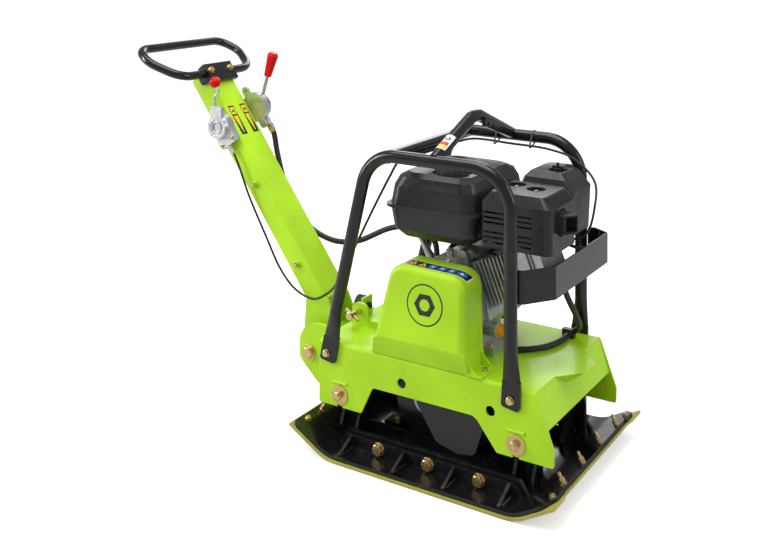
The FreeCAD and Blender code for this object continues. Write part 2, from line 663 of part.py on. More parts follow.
def cover_block(inset):
    """Belt cover body with its front rim rounded, shrunk by inset."""
    i = inset
    front = [(-157 + i, HOOD_TOP - 1), (-142 + i, 314), (-97 + i * 1.1, 496 - i), (104 - i, 488 - i),
             (108 - i, 314), (115 - i, HOOD_TOP - 1)]
    face = prism_y(front, COVER_FACE - 4, COVER_BACK + 5, (0, 0, 46, 42, 0, 0))
    side = prism_x([(-200 + i, HOOD_TOP - 1), (COVER_FACE + i, 314), (-207 + i, 510), (COVER_BACK, 510),
                    (COVER_BACK, HOOD_TOP - 1)], -170, 130)
    block = face.common(side)
    rims = []
    for edge in block.Edges:
        bounds = edge.BoundBox
        if bounds.YMax < COVER_FACE + 12 + i and bounds.ZMin > 313:
            rims.append(edge)
    return block.makeFillet(16 - i, rims)


def build_belt_cover():
    outer = cover_block(0.0)
    inner = cover_block(3.0)
    shell = outer.cut(inner)
    shell = shell.cut(box(-200, 200, -240, -100, HOOD_TOP - 4, HOOD_TOP + GAP))
    flange = box(104, 150, -203, -128, HOOD_TOP + GAP, HOOD_TOP + 4).cut(box(90, 108, -215, -120, 255, 270))
    gusset = prism_y([(105, HOOD_TOP + 1), (142, HOOD_TOP + 1), (106, 304)], -133, -128)
    lip = prism_y([(107, HOOD_TOP + 1), (142, HOOD_TOP + 1), (106, 292)], -200, -196)
    body = fuse([shell, flange, gusset, lip])
    tools = []
    for x, y in COVER_BOLTS:
        tools.append(rod(V(x, y, HOOD_TOP - 2), V(x, y, HOOD_TOP + 8), 4 + GAP))
    save("belt_cover", body.cut(tools))
    low_z = SHAFT_Z - 54
    guard = prism_y([(SHAFT_X - 96, HOOD_TOP - 7), (SHAFT_X - 96, 160), (SHAFT_X - 42, low_z + 8),
                     (SHAFT_X + 16, low_z - 6), (SHAFT_X + 62, low_z + 2), (SHAFT_X + 88, 150),
                     (SHAFT_X + 88, HOOD_TOP - 7)],
                    -190, -186, (0, 10, 30, 30, 18, 10, 0))
    lip = box(SHAFT_X - 90, SHAFT_X + 82, -187, -172, HOOD_TOP - 9, HOOD_TOP - 5 - GAP)
    save("belt_guard", fuse([guard, lip]).cut(box(-80, 130, -180, -170, 240, 260)))


def belt_hull(margin, y0, y1):
    """Solid wrapped round both pulleys at a margin outside their groove floors."""
    r1 = CLUTCH_R + margin
    r2 = EXCITER_PULLEY_R + margin
    dx = SHAFT_X - CRANK_X
    dz = SHAFT_Z - CRANK_Z
    distance = math.hypot(dx, dz)
    heading = math.atan2(dz, dx)
    spread = math.acos((r1 - r2) / distance)
    corners = []
    for cx, cz, radius, sign in ((CRANK_X, CRANK_Z, r1, 1), (CRANK_X, CRANK_Z, r1, -1),
                                 (SHAFT_X, SHAFT_Z, r2, -1), (SHAFT_X, SHAFT_Z, r2, 1)):
        angle = heading + sign * spread
        corners.append((cx + radius * math.cos(angle), cz + radius * math.sin(angle)))
    rounds = [rod_y(CRANK_X, CRANK_Z, y0, y1, r1), rod_y(SHAFT_X, SHAFT_Z, y0, y1, r2)]
    return fuse([prism_y(corners, y0, y1)] + rounds)


def build_belt():
    belt = belt_hull(7.0, BELT_Y - 6.5, BELT_Y + 6.5).cut(belt_hull(0.0, BELT_Y - 8, BELT_Y + 8))
    save("v_belt", belt)
    clutch = groove_pulley(CRANK_X, CRANK_Z, CLUTCH_R, 12.5 + GAP)
    drum = spin(CRANK_X, CRANK_Z, [(20, 11.9), (56, 11.9), (56, 34), (20, 34)], BELT_Y)
    save("clutch", fuse([clutch, drum]))


# --- engine -------------------------------------------------------------------------------
def on_cylinder(along, across, y):
    """Point in the frame of the slanted cylinder, whose axis starts at the crankshaft."""
    cos, sin = math.cos(CYL_TILT), math.sin(CYL_TILT)
    return V(CRANK_X + along * cos - across * sin, y, CRANK_Z + along * sin + across * cos)


def cylinder_block(along0, along1, across0, across1, y0, y1, radius=0.0):
    corners = [(along0, across0), (along1, across0), (along1, across1), (along0, across1)]
    points = [on_cylinder(s, t, 0) for s, t in corners]
    return prism_y([(p.x, p.z) for p in points], y0, y1, radius)


def build_crankcase():
    seat = HOOD_TOP + GAP
    x0, x1, y0, y1 = ENGINE_FOOT
    foot = box(x0, x1, y0, y1, seat, seat + 20)
    arch = box(x0 + 30, x1 - 30, y0 - 1, y1 + 1, seat - 1, seat + 9)
    body = prism_y([(-48, seat + 10), (68, seat + 10), (70, 312), (102, 345), (84, 440), (52, 486),
                    (-50, 486), (-88, 430), (-88, 345), (-48, 312)],
                   y0, y1, (0, 0, 12, 16, 20, 16, 24, 30, 16, 12))
    side = prism_y([(-40, seat + 26), (60, seat + 26), (90, 345), (76, 432), (44, 472), (-44, 472),
                    (-78, 425), (-78, 345)], y0 - 24, y0 + 1, (16, 16, 20, 20, 24, 24, 30, 20))
    hub = rod_y(CRANK_X, CRANK_Z, y0 - 40, y0, 34)
    neck = rod(V(60, -60, 328), V(124 - GAP, -60, 328), 19)
    boss = rod_y(33, 505, -86, -62, 11)
    arm = prism_y([(14, 468), (58, 468), (42, 516), (24, 516)], -84, -66, (0, 0, 8, 8))
    parts = [foot.cut(arch), body, side, hub, neck, boss, arm]
    for x, z in SIDE_COVER_BOLTS:
        parts.append(rod_y(x, z, y0 - 28, y0, 8))
    for index in range(5):
        angle = math.radians(-150 + index * 60)
        tip = V(CRANK_X + 74 * math.cos(angle), 0, CRANK_Z + 74 * math.sin(angle))
        rib = rod(V(CRANK_X, y0 - 24, CRANK_Z), V(tip.x, y0 - 24, tip.z), 3)
        parts.append(rib)
    case = fuse(parts)
    tools = [rod_y(CRANK_X, CRANK_Z, y0 - 50, y1 + 10, 17.5 + GAP)]
    tools.append(rod_y(CRANK_X, CRANK_Z, y0 + 8, y1 - 8, 66))
    tools.append(rod(V(90, -60, 328), V(130, -60, 328), 10))
    for x, y in ENGINE_BOLTS:
        tools.append(rod(V(x, y, seat - 1), V(x, y, seat + 30), 5 + GAP))
    for x, z in SIDE_COVER_BOLTS:
        tools.append(rod_y(x, z, y0 - 30, y0 - 10, 4 + GAP))
    tools.append(cylinder_block(78, 140, -58, 58, y0 + 4, y1 - 4))
    save("crankcase", case.cut(tools))


SIDE_COVER_BOLTS = [(50.0, 300.0), (82.0, 352.0), (-34.0, 302.0), (-68.0, 400.0), (66.0, 440.0),
                    (-30.0, 460.0)]
FIN_START = 94.0
FIN_PITCH = 10.6
FIN_COUNT = 9


def build_cylinder():
    core = cylinder_block(80, 196, -46, 46, -62, 58, 0)
    parts = [core]
    for index in range(FIN_COUNT):
        along = FIN_START + index * FIN_PITCH
        low = -58 + index * 1.5
        parts.append(cylinder_block(along, along + 3.0, low, 60, -86, 70))
    head = cylinder_block(186, 232, -52, 56, -74, 66, 8)
    parts.append(head)
    bore = rod(on_cylinder(70, 0, -2), on_cylinder(188, 0, -2), 38.5)
    block = fuse(parts).cut(bore)
    save("cylinder_block", block)
    cover = cylinder_block(237, 262, -40, 46, -62, 56, 10)
    flange = cylinder_block(232.2, 238, -47, 52, -68, 61)
    save("rocker_cover", fuse([cover, flange]))


def build_crank_assembly():
    main = rod_y(CRANK_X, CRANK_Z, -182, 132, 12.5)
    journals = [rod_y(CRANK_X, CRANK_Z, -104, -50, 17.5), rod_y(CRANK_X, CRANK_Z, 47, 78, 17.5)]
    webs = []
    for y in (-40.0, 22.0):
        disc = rod_y(CRANK_X, CRANK_Z, y, y + 14, 46)
        webs.append(disc)
    pin = rod_y(CRANK_X + 28, CRANK_Z, -30, 26, 15)
    save("crankshaft", fuse([main] + journals + webs + [pin]))
    profile = [(12.5 + GAP, 82), (30, 82), (92, 92), (100, 86), (100, 112), (30, 112), (12.5 + GAP, 118)]
    wheel = spin(CRANK_X, CRANK_Z, profile, 0)
    fins = []
    for index in range(18):
        angle = math.radians(index * 20)
        fin = box(CRANK_X + 52, CRANK_X + 98, 111, 126, CRANK_Z - 1.5, CRANK_Z + 1.5)
        fin.rotate(V(CRANK_X, 0, CRANK_Z), V(0, 1, 0), math.degrees(angle))
        fins.append(fin)
    save("flywheel", fuse([wheel] + fins))


RECOIL_X = -104.0
RECOIL_Y = 161.0
RECOIL_Z = 430.0


def build_fan_housing():
    def shape(radius, y0, y1, margin):
        """Round fan casing with a duct that leads the air up to the cylinder."""
        duct = cylinder_block(0, 142 - margin, 20, 88 - margin, y0, y1)
        return fuse([rod_y(CRANK_X, CRANK_Z, y0, y1, radius), duct])
    shell = shape(116, 74, 150, 0).cut(shape(113, 73, 147, 3))
    dome = spin(CRANK_X, CRANK_Z, [(0.1, 150), (98, 150), (98, 160), (84, 173), (0.1, 173)], 0)
    dome = dome.cut(spin(CRANK_X, CRANK_Z, [(0.0, 140), (94, 140), (94, 159), (81, 169.5), (0.0, 169.5)], 0))
    slots = []
    for index in range(12):
        slot = box(CRANK_X + 34, CRANK_X + 72, 160, 180, CRANK_Z - 3.5, CRANK_Z + 3.5)
        slot.rotate(V(CRANK_X, 0, CRANK_Z), V(0, 1, 0), index * 30 + 15)
        slots.append(slot)
    mouth = rod(V(RECOIL_X + 2, RECOIL_Y, RECOIL_Z), V(-70, RECOIL_Y, RECOIL_Z), 9)
    casing = fuse([shell.cut(rod_y(CRANK_X, CRANK_Z, 140, 152, 90)), dome.cut(slots), mouth])
    rope_hole = rod(V(RECOIL_X - 5, RECOIL_Y, RECOIL_Z), V(-60, RECOIL_Y, RECOIL_Z), 3)
    switch_seat = box(-118, -88, 84, 112, 478, 520)
    casing = casing.cut(rope_hole)
    save("fan_housing", casing.cut(switch_seat))
    grip = rod(V(RECOIL_X - 14, RECOIL_Y, RECOIL_Z - 34), V(RECOIL_X - 14, RECOIL_Y, RECOIL_Z + 34), 9)
    neck = rod(V(RECOIL_X - 10, RECOIL_Y, RECOIL_Z), V(RECOIL_X + 1.5, RECOIL_Y, RECOIL_Z), 7)
    rope = rod(V(RECOIL_X, RECOIL_Y, RECOIL_Z), V(RECOIL_X + 30, RECOIL_Y, RECOIL_Z), 2.4)
    save("recoil_grip", fuse([grip, neck, rope]))


CAP_X = -5.0
CAP_Y = -62.0


TANK = (-151.0, 96.0, -147.0, 163.0)
TANK_SEAM_Z = (615.0, 622.0)
TANK_LOWER = [(540.0, 24.0), (560.0, 7.0), (616.0, 0.0)]   # height, and how far the wall stands in
TANK_UPPER = [(620.0, 0.0), (668.0, 7.0), (690.0, 17.0), (700.0, 34.0)]
TANK_WALL = 4.0


def tank_wire(z, inset):
    x0, x1, y0, y1 = TANK
    return rectangle_wire(x0 + inset, x1 - inset, y0 + inset, y1 - inset, z, 36)


def build_fuel_tank():
    lower = loft([tank_wire(z, inset) for z, inset in TANK_LOWER])
    upper = loft([tank_wire(z, inset) for z, inset in TANK_UPPER])
    seam = Part.Face(tank_wire(TANK_SEAM_Z[0], -8)).extrude(V(0, 0, TANK_SEAM_Z[1] - TANK_SEAM_Z[0]))
    tank = fuse([upper, seam, lower])
    middle = (TANK_LOWER[0][0] + TANK_UPPER[-1][0]) / 2
    inner = []
    for z, inset in TANK_LOWER[:2] + TANK_UPPER:
        inner.append(tank_wire(z + TANK_WALL * (middle - z) / (middle - TANK_LOWER[0][0]), inset + TANK_WALL))
    cavity = loft(inner)
    neck = rod(V(CAP_X, CAP_Y, 688), V(CAP_X, CAP_Y, 706), 30)
    dish = rod(V(CAP_X, CAP_Y, 694), V(CAP_X, CAP_Y, 710), 50)
    floor = Part.makeCylinder(53, 4, V(CAP_X, CAP_Y, 690))
    rim = Part.makeCylinder(53, 12, V(CAP_X, CAP_Y, 690)).cut(Part.makeCylinder(50, 14, V(CAP_X, CAP_Y, 689)))
    floor = floor.fuse(rim).common(upper)
    tank = fuse([tank.cut([cavity, dish]), floor, neck])
    tank = tank.cut(rod(V(CAP_X, CAP_Y, 680), V(CAP_X, CAP_Y, 710), 27))
    save("fuel_tank", tank)
    skirt = rod(V(CAP_X, CAP_Y, 696), V(CAP_X, CAP_Y, 712), 41).cut(
        rod(V(CAP_X, CAP_Y, 690), V(CAP_X, CAP_Y, 706 + GAP), 31))
    crown = Part.makeCone(41, 36, 6, V(CAP_X, CAP_Y, 712))
    lobes = []
    for index in range(12):
        angle = math.radians(index * 30)
        spot = V(CAP_X + 41 * math.cos(angle), CAP_Y + 41 * math.sin(angle), 697)
        lobes.append(Part.makeCylinder(3, 15, spot))
    save("fuel_cap", fuse([skirt, crown] + lobes))


MUFFLER_BOX = (105.0, 290.0, -128.0, 28.0)


OUTLET_Z = 616.0


def muffler_shell(inset):
    x0, x1, y0, y1 = MUFFLER_BOX
    i = inset
    base = rectangle_wire(x0 + i, x1 - i, y0 + i, y1 - i, 549 - 3 * i, 16)
    shoulder = rectangle_wire(x0 + i, x1 - i, y0 + i, y1 - i, 657, 16)
    crown = rectangle_wire(x0 + 22 + i, x1 - 24 - i, y0 + 15 + i, y1 - 6 - i, 681 - i, 12)
    return loft([base, shoulder, crown])


def build_muffler():
    x0, x1, y0, y1 = MUFFLER_BOX
    shell = muffler_shell(0.0).cut(muffler_shell(2.5))
    wells = []
    pockets = []
    for x, y in MUFFLER_BOLTS:
        wells.append(Part.makeCylinder(26, 10, V(x, y, 670)))
        pockets.append(Part.makeCylinder(23.5, 10, V(x, y, 673)))
        pockets.append(Part.makeCylinder(3 + GAP, 40, V(x, y, 650)))
    shell = fuse([shell] + wells)
    for group in (633.0, 586.0):
        for index in range(3):
            z = group - index * 12
            pockets.append(box(116, 243, y0 - 5, y0 + 6, z - 2.4, z + 2.4))
    for index in range(11):
        y = -104 + index * 10.4
        pockets.append(box(x1 - 21, x1 + 2, y - 2, y + 2, 655, 690))
    pockets.append(rod(V(x1 - 8, -60, OUTLET_Z), V(x1 + 8, -60, OUTLET_Z), 33))
    save("muffler_cover", shell.cut(pockets))
    can = loft([rectangle_wire(118, 270, -108, 10, 566, 30), rectangle_wire(118, 270, -108, 10, 652, 30)])
    collar = rod(V(268, -60, OUTLET_Z), V(x1 + 4, -60, OUTLET_Z), 30)
    spout = prism_z([(x1, -84), (x1 + 16, -84), (x1 + 34, -58), (x1 + 34, -38), (x1, -38)], OUTLET_Z - 22,
                    OUTLET_Z + 22, (0, 6, 6, 6, 0))
    passage = prism_z([(250, -80), (x1 + 40, -80), (x1 + 40, -62), (x1 + 29, -42), (250, -42)], OUTLET_Z - 18,
                      OUTLET_Z + 18)
    pipe = rod(V(174, -30, 600), V(181, -30, 512), 13)
    bosses = [Part.makeCylinder(7, 670 - GAP - 650, V(x, y, 650)) for x, y in MUFFLER_BOLTS]
    body = fuse([can, collar, spout, pipe] + bosses).cut(passage)
    body = body.cut(cylinder_block(180, 232, -52, 56.05, -74.05, 66))
    body = body.cut([Part.makeCylinder(3 + GAP, 30, V(x, y, 645)) for x, y in MUFFLER_BOLTS])
    save("muffler", body)


MUFFLER_BOLTS = [(152.0, -18.0), (213.0, -38.0)]
AC_FRONT = 280.0


def air_cleaner_wire(inset, z, lift=0.0):
    i = inset
    points = [V(134 + i, 32 + i, z), V(AC_FRONT - lift - i, 32 + i, z), V(AC_FRONT - lift - i, 150 - i, z),
              V(AC_FRONT - 36 - i, 193 - i, z), V(134 + i, 193 - i, z)]
    return outline(points, (6, 10, 18, 20, 20))


def build_air_cleaner():
    body = loft([air_cleaner_wire(4, 557), air_cleaner_wire(0, 664), air_cleaner_wire(9, 690, 12),
                 air_cleaner_wire(22, 704, 16)])
    cavity = loft([air_cleaner_wire(7, 561), air_cleaner_wire(4, 664), air_cleaner_wire(13, 687, 12),
                   air_cleaner_wire(26, 699, 16)])
    well = Part.makeCylinder(24, 10, V(AC_STUD_X, AC_STUD_Y, 695))
    cup = Part.makeCylinder(27, 8, V(AC_STUD_X, AC_STUD_Y, 692))
    stud = Part.makeCylinder(4, 30, V(AC_STUD_X, AC_STUD_Y, 692))
    knob = Part.makeCylinder(10, 9, V(AC_STUD_X, AC_STUD_Y, 699))
    wings = box(AC_STUD_X - 15, AC_STUD_X + 15, AC_STUD_Y - 2, AC_STUD_Y + 2, 701, 714)
    element = loft([rectangle_wire(150, 262, 50, 150, 562, 20), rectangle_wire(150, 262, 50, 150, 640, 20)])
    shell = fuse([body.cut(cavity), cup]).cut(well)
    shell = shell.cut(rod(V(190, 104, 550), V(190, 104, 561.5), 20 + GAP))
    save("air_cleaner", [fuse([shell, stud, knob, wings]), element])


AC_STUD_X = 214.0
AC_STUD_Y = 92.0


def build_carburettor():
    body = box(170, 222, 84, 124, 498, 540)
    bowl = Part.makeCylinder(20, 30, V(196, 104, 472))
    throat = rod(V(190, 104, 538), V(190, 104, 560 - GAP), 20)
    inlet = rod(V(196, 67, 518), V(196, 90, 518), 15)
    save("carburettor", fuse([body, bowl, throat, inlet]))
    lever = prism_y([(222, 505), (262, 498), (262, 505), (222, 515)], 125 + GAP, 128, 2)
    pivot = rod_y(228, 510, 124 + 2 * GAP, 134, 4)
    tab = box(254, 270, 125, 138, 496, 507)
    save("choke_lever", fuse([lever, pivot, tab]))


def build_small_engine_parts():
    cap = rod(V(124, -60, 328), V(146, -60, 328), 15)
    knob = box(146 - 1, 156, -64, -56, 316, 340)
    stick = rod(V(96, -60, 328), V(125, -60, 328), 7)
    save("oil_dipstick", fuse([cap, knob, stick]))
    knob = rod(V(-126, 98, 499), V(-112, 98, 499), 9)
    bar = box(-134, -118.5, 95, 101, 490, 508)
    save("engine_switch", fuse([knob, bar]))


def build_engine_bolts():
    bolts = []
    for x, y in ENGINE_BOLTS:
        bolts.append(bolt(V(x, y, HOOD_TOP + 20 + 2 * GAP), V(0, 0, 1), 10, 30))
    for x, z in SIDE_COVER_BOLTS:
        bolts.append(bolt(V(x, ENGINE_FOOT[2] - 28 - GAP, z), V(0, -1, 0), 8, 17))
    for x, y in MUFFLER_BOLTS:
        bolts.append(bolt(V(x, y, 673 + GAP), V(0, 0, 1), 6, 20))
    for x, y in COVER_BOLTS:
        bolts.append(bolt(V(x, y, HOOD_TOP + 4 + GAP), V(0, 0, 1), 8, 14))
    save("engine_bolts", bolts)


GUARD_X = 299.0


def ribbon(points, thickness):
    """Closed outline of a folded strip; points run along one face of it."""
    offset = []
    count = len(points)
    for index in range(count):
        normals = []
        for a, b in ((index - 1, index), (index, index + 1)):
            if 0 <= a and b < count:
                dx = points[b][0] - points[a][0]
                dy = points[b][1] - points[a][1]
                length = math.hypot(dx, dy)
                normals.append((-dy / length, dx / length))
        nx = sum(n[0] for n in normals)
        ny = sum(n[1] for n in normals)
        scale = thickness * len(normals) / (nx * nx + ny * ny)
        offset.append((points[index][0] + nx * scale, points[index][1] + ny * scale))
    return points + offset[::-1]


def build_muffler_guard():
    front_x = HOOP_FRONT
    leg = TUBE_R + GAP
    band = [(front_x + 2, -HOOP_Y + leg + 1), (front_x + 22, -188), (GUARD_X, -117), (GUARD_X, 217),
            (252, 246), (front_x + 10, HOOP_Y + leg + 4)]
    guard = prism_z(ribbon(band, 3), 451, 528.5)
    legs = [rod(V(front_x, side * HOOP_Y, 440), V(front_x, side * HOOP_Y, 540), leg) for side in (-1, 1)]
    save("muffler_guard", guard.cut(legs))


HOSE_CLIP_X = 217.0
HOSE_CLIP_Y = 152.0


def build_drain_hose():
    """Hose from under the rocker cover, held by one clip and laid on the deck."""
    low = HOOD_TOP + 9
    x, y = HOSE_CLIP_X, HOSE_CLIP_Y
    path = [on_cylinder(249, -40.1, 20), on_cylinder(249, -62, 20), V(263, 44, 396), V(264, 80, 330),
            V(x + 2, y + 18, low + 8), V(x + 4, y - 25, low), V(236, 70, low), V(226, 22, low),
            V(186, -8, low), V(140, -24, low)]
    save("drain_hose", sweep(path, 7.5, (12, 30, 40, 26, 14, 60, 30, 30)))


def build_hose_clip():
    x, y = HOSE_CLIP_X, HOSE_CLIP_Y
    block = box(x - 14, x + 18, y - 8, y + 8, HOOD_TOP + GAP, HOOD_TOP + 22)
    peg = rod(V(x, y, HOOD_TOP - 8), V(x, y, HOOD_TOP + 2), 4)
    save("hose_clip", block.fuse(peg))


# --- drawbar ------------------------------------------------------------------------------
COS_BAR = math.cos(BAR_TILT)
SIN_BAR = math.sin(BAR_TILT)


def on_bar(along, depth):
    """X and Z of a point along the drawbar from the pivot, depth square to it towards the front."""
    x = PIVOT_X - along * SIN_BAR + depth * COS_BAR
    z = PIVOT_Z + along * COS_BAR + depth * SIN_BAR
    return x, z


def bar_point(along, depth, y):
    x, z = on_bar(along, depth)
    return V(x, y, z)


BAR_UP = V(-SIN_BAR, 0, COS_BAR)
BAR_OUT = V(COS_BAR, 0, SIN_BAR)
CREASE = 95.0                   # the front plate of the drawbar ends this far above the pivot
CLIP_ALONG = (470.0, 215.0)
CLAMP_BOLT_Y = (-42.0, 42.0)
CLAMP_FACE = 115.0              # front face of the grip clamp, measured square from the pivot line
NOTCH = (807.0, 82.0)           # the drawbar is cut away above and in front of this for the grip tube
PUMP_BOLTS = [(690.0, 46.0), (566.0, 46.0)]


def build_drawbar():
    wall = 5.0
    section = [on_bar(CREASE, BAR_REAR), on_bar(BAR_LENGTH, BAR_REAR), on_bar(BAR_LENGTH, BAR_FRONT),
               on_bar(CREASE, BAR_FRONT)]
    hollow = [on_bar(CREASE - 20, BAR_REAR + wall), on_bar(BAR_LENGTH - wall, BAR_REAR + wall),
              on_bar(BAR_LENGTH - wall, BAR_FRONT - wall), on_bar(CREASE - 20, BAR_FRONT - wall)]
    shell = prism_y(section, -BAR_HALF, BAR_HALF)
    corners = []
    for edge in shell.Edges:
        if edge.Length > BAR_LENGTH - CREASE - 5:
            corners.append(edge)
    shell = shell.makeFillet(7, corners)
    shell = shell.cut(prism_y(hollow, -BAR_HALF + wall, BAR_HALF - wall))
    cheek = prism_y([on_bar(CREASE + 30, BAR_REAR), on_bar(CREASE + 30, BAR_FRONT - 8),
                     on_bar(CREASE - 6, BAR_FRONT - 1), on_bar(18, 86), on_bar(-46, 30), on_bar(-46, -46),
                     on_bar(30, -46)], BAR_HALF - 7, BAR_HALF, (0, 0, 0, 20, 40, 44, 30))
    closing = prism_y([on_bar(CREASE + 6, BAR_FRONT - 6), on_bar(CREASE, BAR_FRONT - 1), on_bar(26, 44),
                       on_bar(32, 38)], -BAR_HALF + 5, BAR_HALF - 5)
    tube_outer = rod_y(PIVOT_X, PIVOT_Z, -BAR_HALF, BAR_HALF, 30)
    parts = [shell, tube_outer, closing] + pair(cheek)
    for along in CLIP_ALONG:
        base = bar_point(along, (BAR_REAR + BAR_FRONT) / 2, -BAR_HALF + 2)
        parts.append(rod(base, base - V(0, 10, 0), 9))
    body = fuse(parts)
    tools = [rod_y(PIVOT_X, PIVOT_Z, -60, 60, 10 + GAP)]
    above, ahead = BAR_LENGTH + 9, BAR_FRONT + 9
    tools.append(prism_y([on_bar(NOTCH[0], NOTCH[1]), on_bar(above, NOTCH[1]), on_bar(above, ahead),
                          on_bar(NOTCH[0], ahead)], -60, 60))
    for along, depth in PUMP_BOLTS:
        tools.append(rod(bar_point(along, depth + 22, 40), bar_point(along, depth + 22, 60), 4 + GAP))
    for along in CLIP_ALONG:
        centre = bar_point(along, (BAR_REAR + BAR_FRONT) / 2, -BAR_HALF)
        tools.append(rod(centre + V(0, 8, 0), centre - V(0, 12, 0), 3 + GAP))
    save("drawbar", body.cut(tools))


def build_pivot():
    profile = [(10.3, BUSH_IN), (BUSH_R, BUSH_IN), (BUSH_R, BUSH_OUT), (10.3, BUSH_OUT)]
    bush = spin(PIVOT_X, PIVOT_Z, profile, 0)
    save("pivot_bushes", pair(bush))
    bar = rod_y(PIVOT_X, PIVOT_Z, -EAR_OUT - 4, EAR_OUT + 4, 10)
    parts = [bar]
    for side in (-1, 1):
        face = V(PIVOT_X, side * (EAR_OUT + GAP), PIVOT_Z)
        out = V(0, side, 0)
        parts.append(Part.makeCylinder(21, 3, face, out))
        parts.append(hexagon(face + out * 3, out, 28, 12))
    save("pivot_bolt", fuse(parts))


LOOP_REAR = V(-990, 0, 962)
LOOP_SLOPE = V(0.893, 0, -0.45)
LOOP_DEPTH = 162.0
GRIP_R = 12.5
GRIP_ALONG = 825.7              # the grip tube crosses the drawbar this far above the pivot


def loop_point(y, along):
    return LOOP_REAR + LOOP_SLOPE * along + V(0, y, 0)


def build_grip():
    half = [(30, LOOP_DEPTH), (150, LOOP_DEPTH), (200, 66), (174, 0)]
    right = [loop_point(-y, along) for y, along in half]
    left = [loop_point(y, along) for y, along in half[::-1]]
    path = right + left
    loop = sweep(path, GRIP_R, (72, 66, 46, 46, 66, 72))
    join = rod(loop_point(-31, LOOP_DEPTH), loop_point(31, LOOP_DEPTH), GRIP_R)
    loop = fuse([loop, join])
    ends = rod(loop_point(-29, LOOP_DEPTH), loop_point(29, LOOP_DEPTH), GRIP_R - 3)
    bolt_holes = []
    for y in CLAMP_BOLT_Y:
        bolt_holes.append(rod(bar_point(GRIP_ALONG, 92, y), bar_point(GRIP_ALONG, 125, y), 5 + GAP))
    save("grip_loop", loop.cut([ends] + bolt_holes))
    seat = GRIP_R + GAP
    low, high = 790.0, 850.0
    front = BAR_FRONT + GAP
    plate = prism_y([on_bar(low, CLAMP_FACE - 8), on_bar(high, CLAMP_FACE - 8), on_bar(high, CLAMP_FACE),
                     on_bar(low, CLAMP_FACE)], -58, 58, (0, 0, 3, 3))
    foot = prism_y([on_bar(low, front), on_bar(low + 8, front), on_bar(low + 8, CLAMP_FACE - 4),
                    on_bar(low, CLAMP_FACE - 4)], -58, 58)
    saddle = prism_y([on_bar(NOTCH[0] + GAP, NOTCH[1] + GAP), on_bar(high, NOTCH[1] + GAP),
                      on_bar(high, CLAMP_FACE - 4), on_bar(NOTCH[0] + GAP, CLAMP_FACE - 4)], -52, 52)
    cheek = prism_y([on_bar(low + 10, 72), on_bar(high - 22, 72), on_bar(high, 88),
                     on_bar(high, CLAMP_FACE - 4), on_bar(low + 2, CLAMP_FACE - 4)],
                    BAR_HALF + GAP, 58, (6, 6, 6, 0, 0))
    clamp = fuse([plate, foot, saddle] + pair(cheek))
    tools = [rod(loop_point(-70, LOOP_DEPTH), loop_point(70, LOOP_DEPTH), seat)]
    for y in CLAMP_BOLT_Y:
        tools.append(rod(bar_point(GRIP_ALONG, 96, y), bar_point(GRIP_ALONG, CLAMP_FACE + 9, y), 5 + GAP))
    save("grip_clamp", clamp.cut(tools))


def disc_y(x, z, y0, y1, r0, r1):
    """Turned disc whose radius runs from r0 at y0 to r1 at y1."""
    return Part.makeCone(r0, r1, abs(y1 - y0), V(x, y0, z), V(0, y1 - y0, 0))


def turned(points, x, z, angle):
    """Rotate X and Z points about x, z by angle radians, from up towards +X."""
    cos, sin = math.cos(angle), math.sin(angle)
    return [(x + px * cos + pz * sin, z - px * sin + pz * cos) for px, pz in points]


THROTTLE_BLOCK = 20.0
THROTTLE_SCREWS = [(-24.0, -50.0), (22.0, -50.0)]
THROTTLE_FOOT = 62.0            # the housing reaches this far down the drawbar from the spindle
SPOUT_END = 84.0


def build_throttle():
    side = -BAR_HALF - GAP
    lean = -BAR_TILT
    corners = [(-33, 0), (33, 0), (33, -THROTTLE_FOOT), (-33, -THROTTLE_FOOT)]
    foot = turned(corners, THROTTLE_X, THROTTLE_Z, lean)
    block = prism_y(foot, side, side - THROTTLE_BLOCK, (0, 0, 8, 8))
    drum = rod_y(THROTTLE_X, THROTTLE_Z, side, side - 22, 38)
    start, end = turned([(-6, 6 - THROTTLE_FOOT), (-6, -SPOUT_END)], THROTTLE_X, THROTTLE_Z, lean)
    spout = rod(V(start[0], side - 13, start[1]), V(end[0], side - 13, end[1]), 6)
    body = fuse([block, drum, spout])
    tools = [rod_y(THROTTLE_X, THROTTLE_Z, side + 1, side - 30, 4 + GAP)]
    for point in turned(THROTTLE_SCREWS, THROTTLE_X, THROTTLE_Z, lean):
        tools.append(rod_y(point[0], point[1], side - 4, side - 30, 3 + GAP))
    save("throttle_housing", body.cut(tools))
    face = side - 22 - GAP
    disc = disc_y(THROTTLE_X, THROTTLE_Z, face, face - 12, 37, 33)
    ring = rod_y(THROTTLE_X, THROTTLE_Z, face - 9, face - 13, 18)
    ring = ring.cut(rod_y(THROTTLE_X, THROTTLE_Z, face - 6, face - 15, 14))
    spindle = rod_y(THROTTLE_X, THROTTLE_Z, side - 2, face - 1, 4)
    socket = box(THROTTLE_X - 22, THROTTLE_X + 20, face - 14, face, THROTTLE_Z + 26, THROTTLE_Z + 60)
    hub = disc.cut(rod_y(THROTTLE_X, THROTTLE_Z, face - 9, face - 15, 22))
    y = face - 7
    path = [V(THROTTLE_X - 8, y, THROTTLE_Z + 58), V(THROTTLE_X - 13, y, THROTTLE_Z + 88),
            V(THROTTLE_X + 8, y, THROTTLE_Z + 104), V(THROTTLE_X - 4, y, THROTTLE_Z + 122)]
    stem = sweep(path, 4, (12, 12))
    save("throttle_lever", fuse([hub, ring, spindle, socket, stem]))
    reach = path[3] - path[2]
    ball = Part.makeSphere(16.5, path[2] + reach * 1.45, reach)
    save("throttle_knob", ball.cut(rod(path[2], path[3] + reach * 0.4, 4 + GAP)))


DIRECTION_ANGLE = math.radians(17.8)
DIRECTION_Y = 78.0
DIRECTION_GRIP = 66.0
PUMP_FEET = [(0.0, -58.0), (0.0, 58.0)]


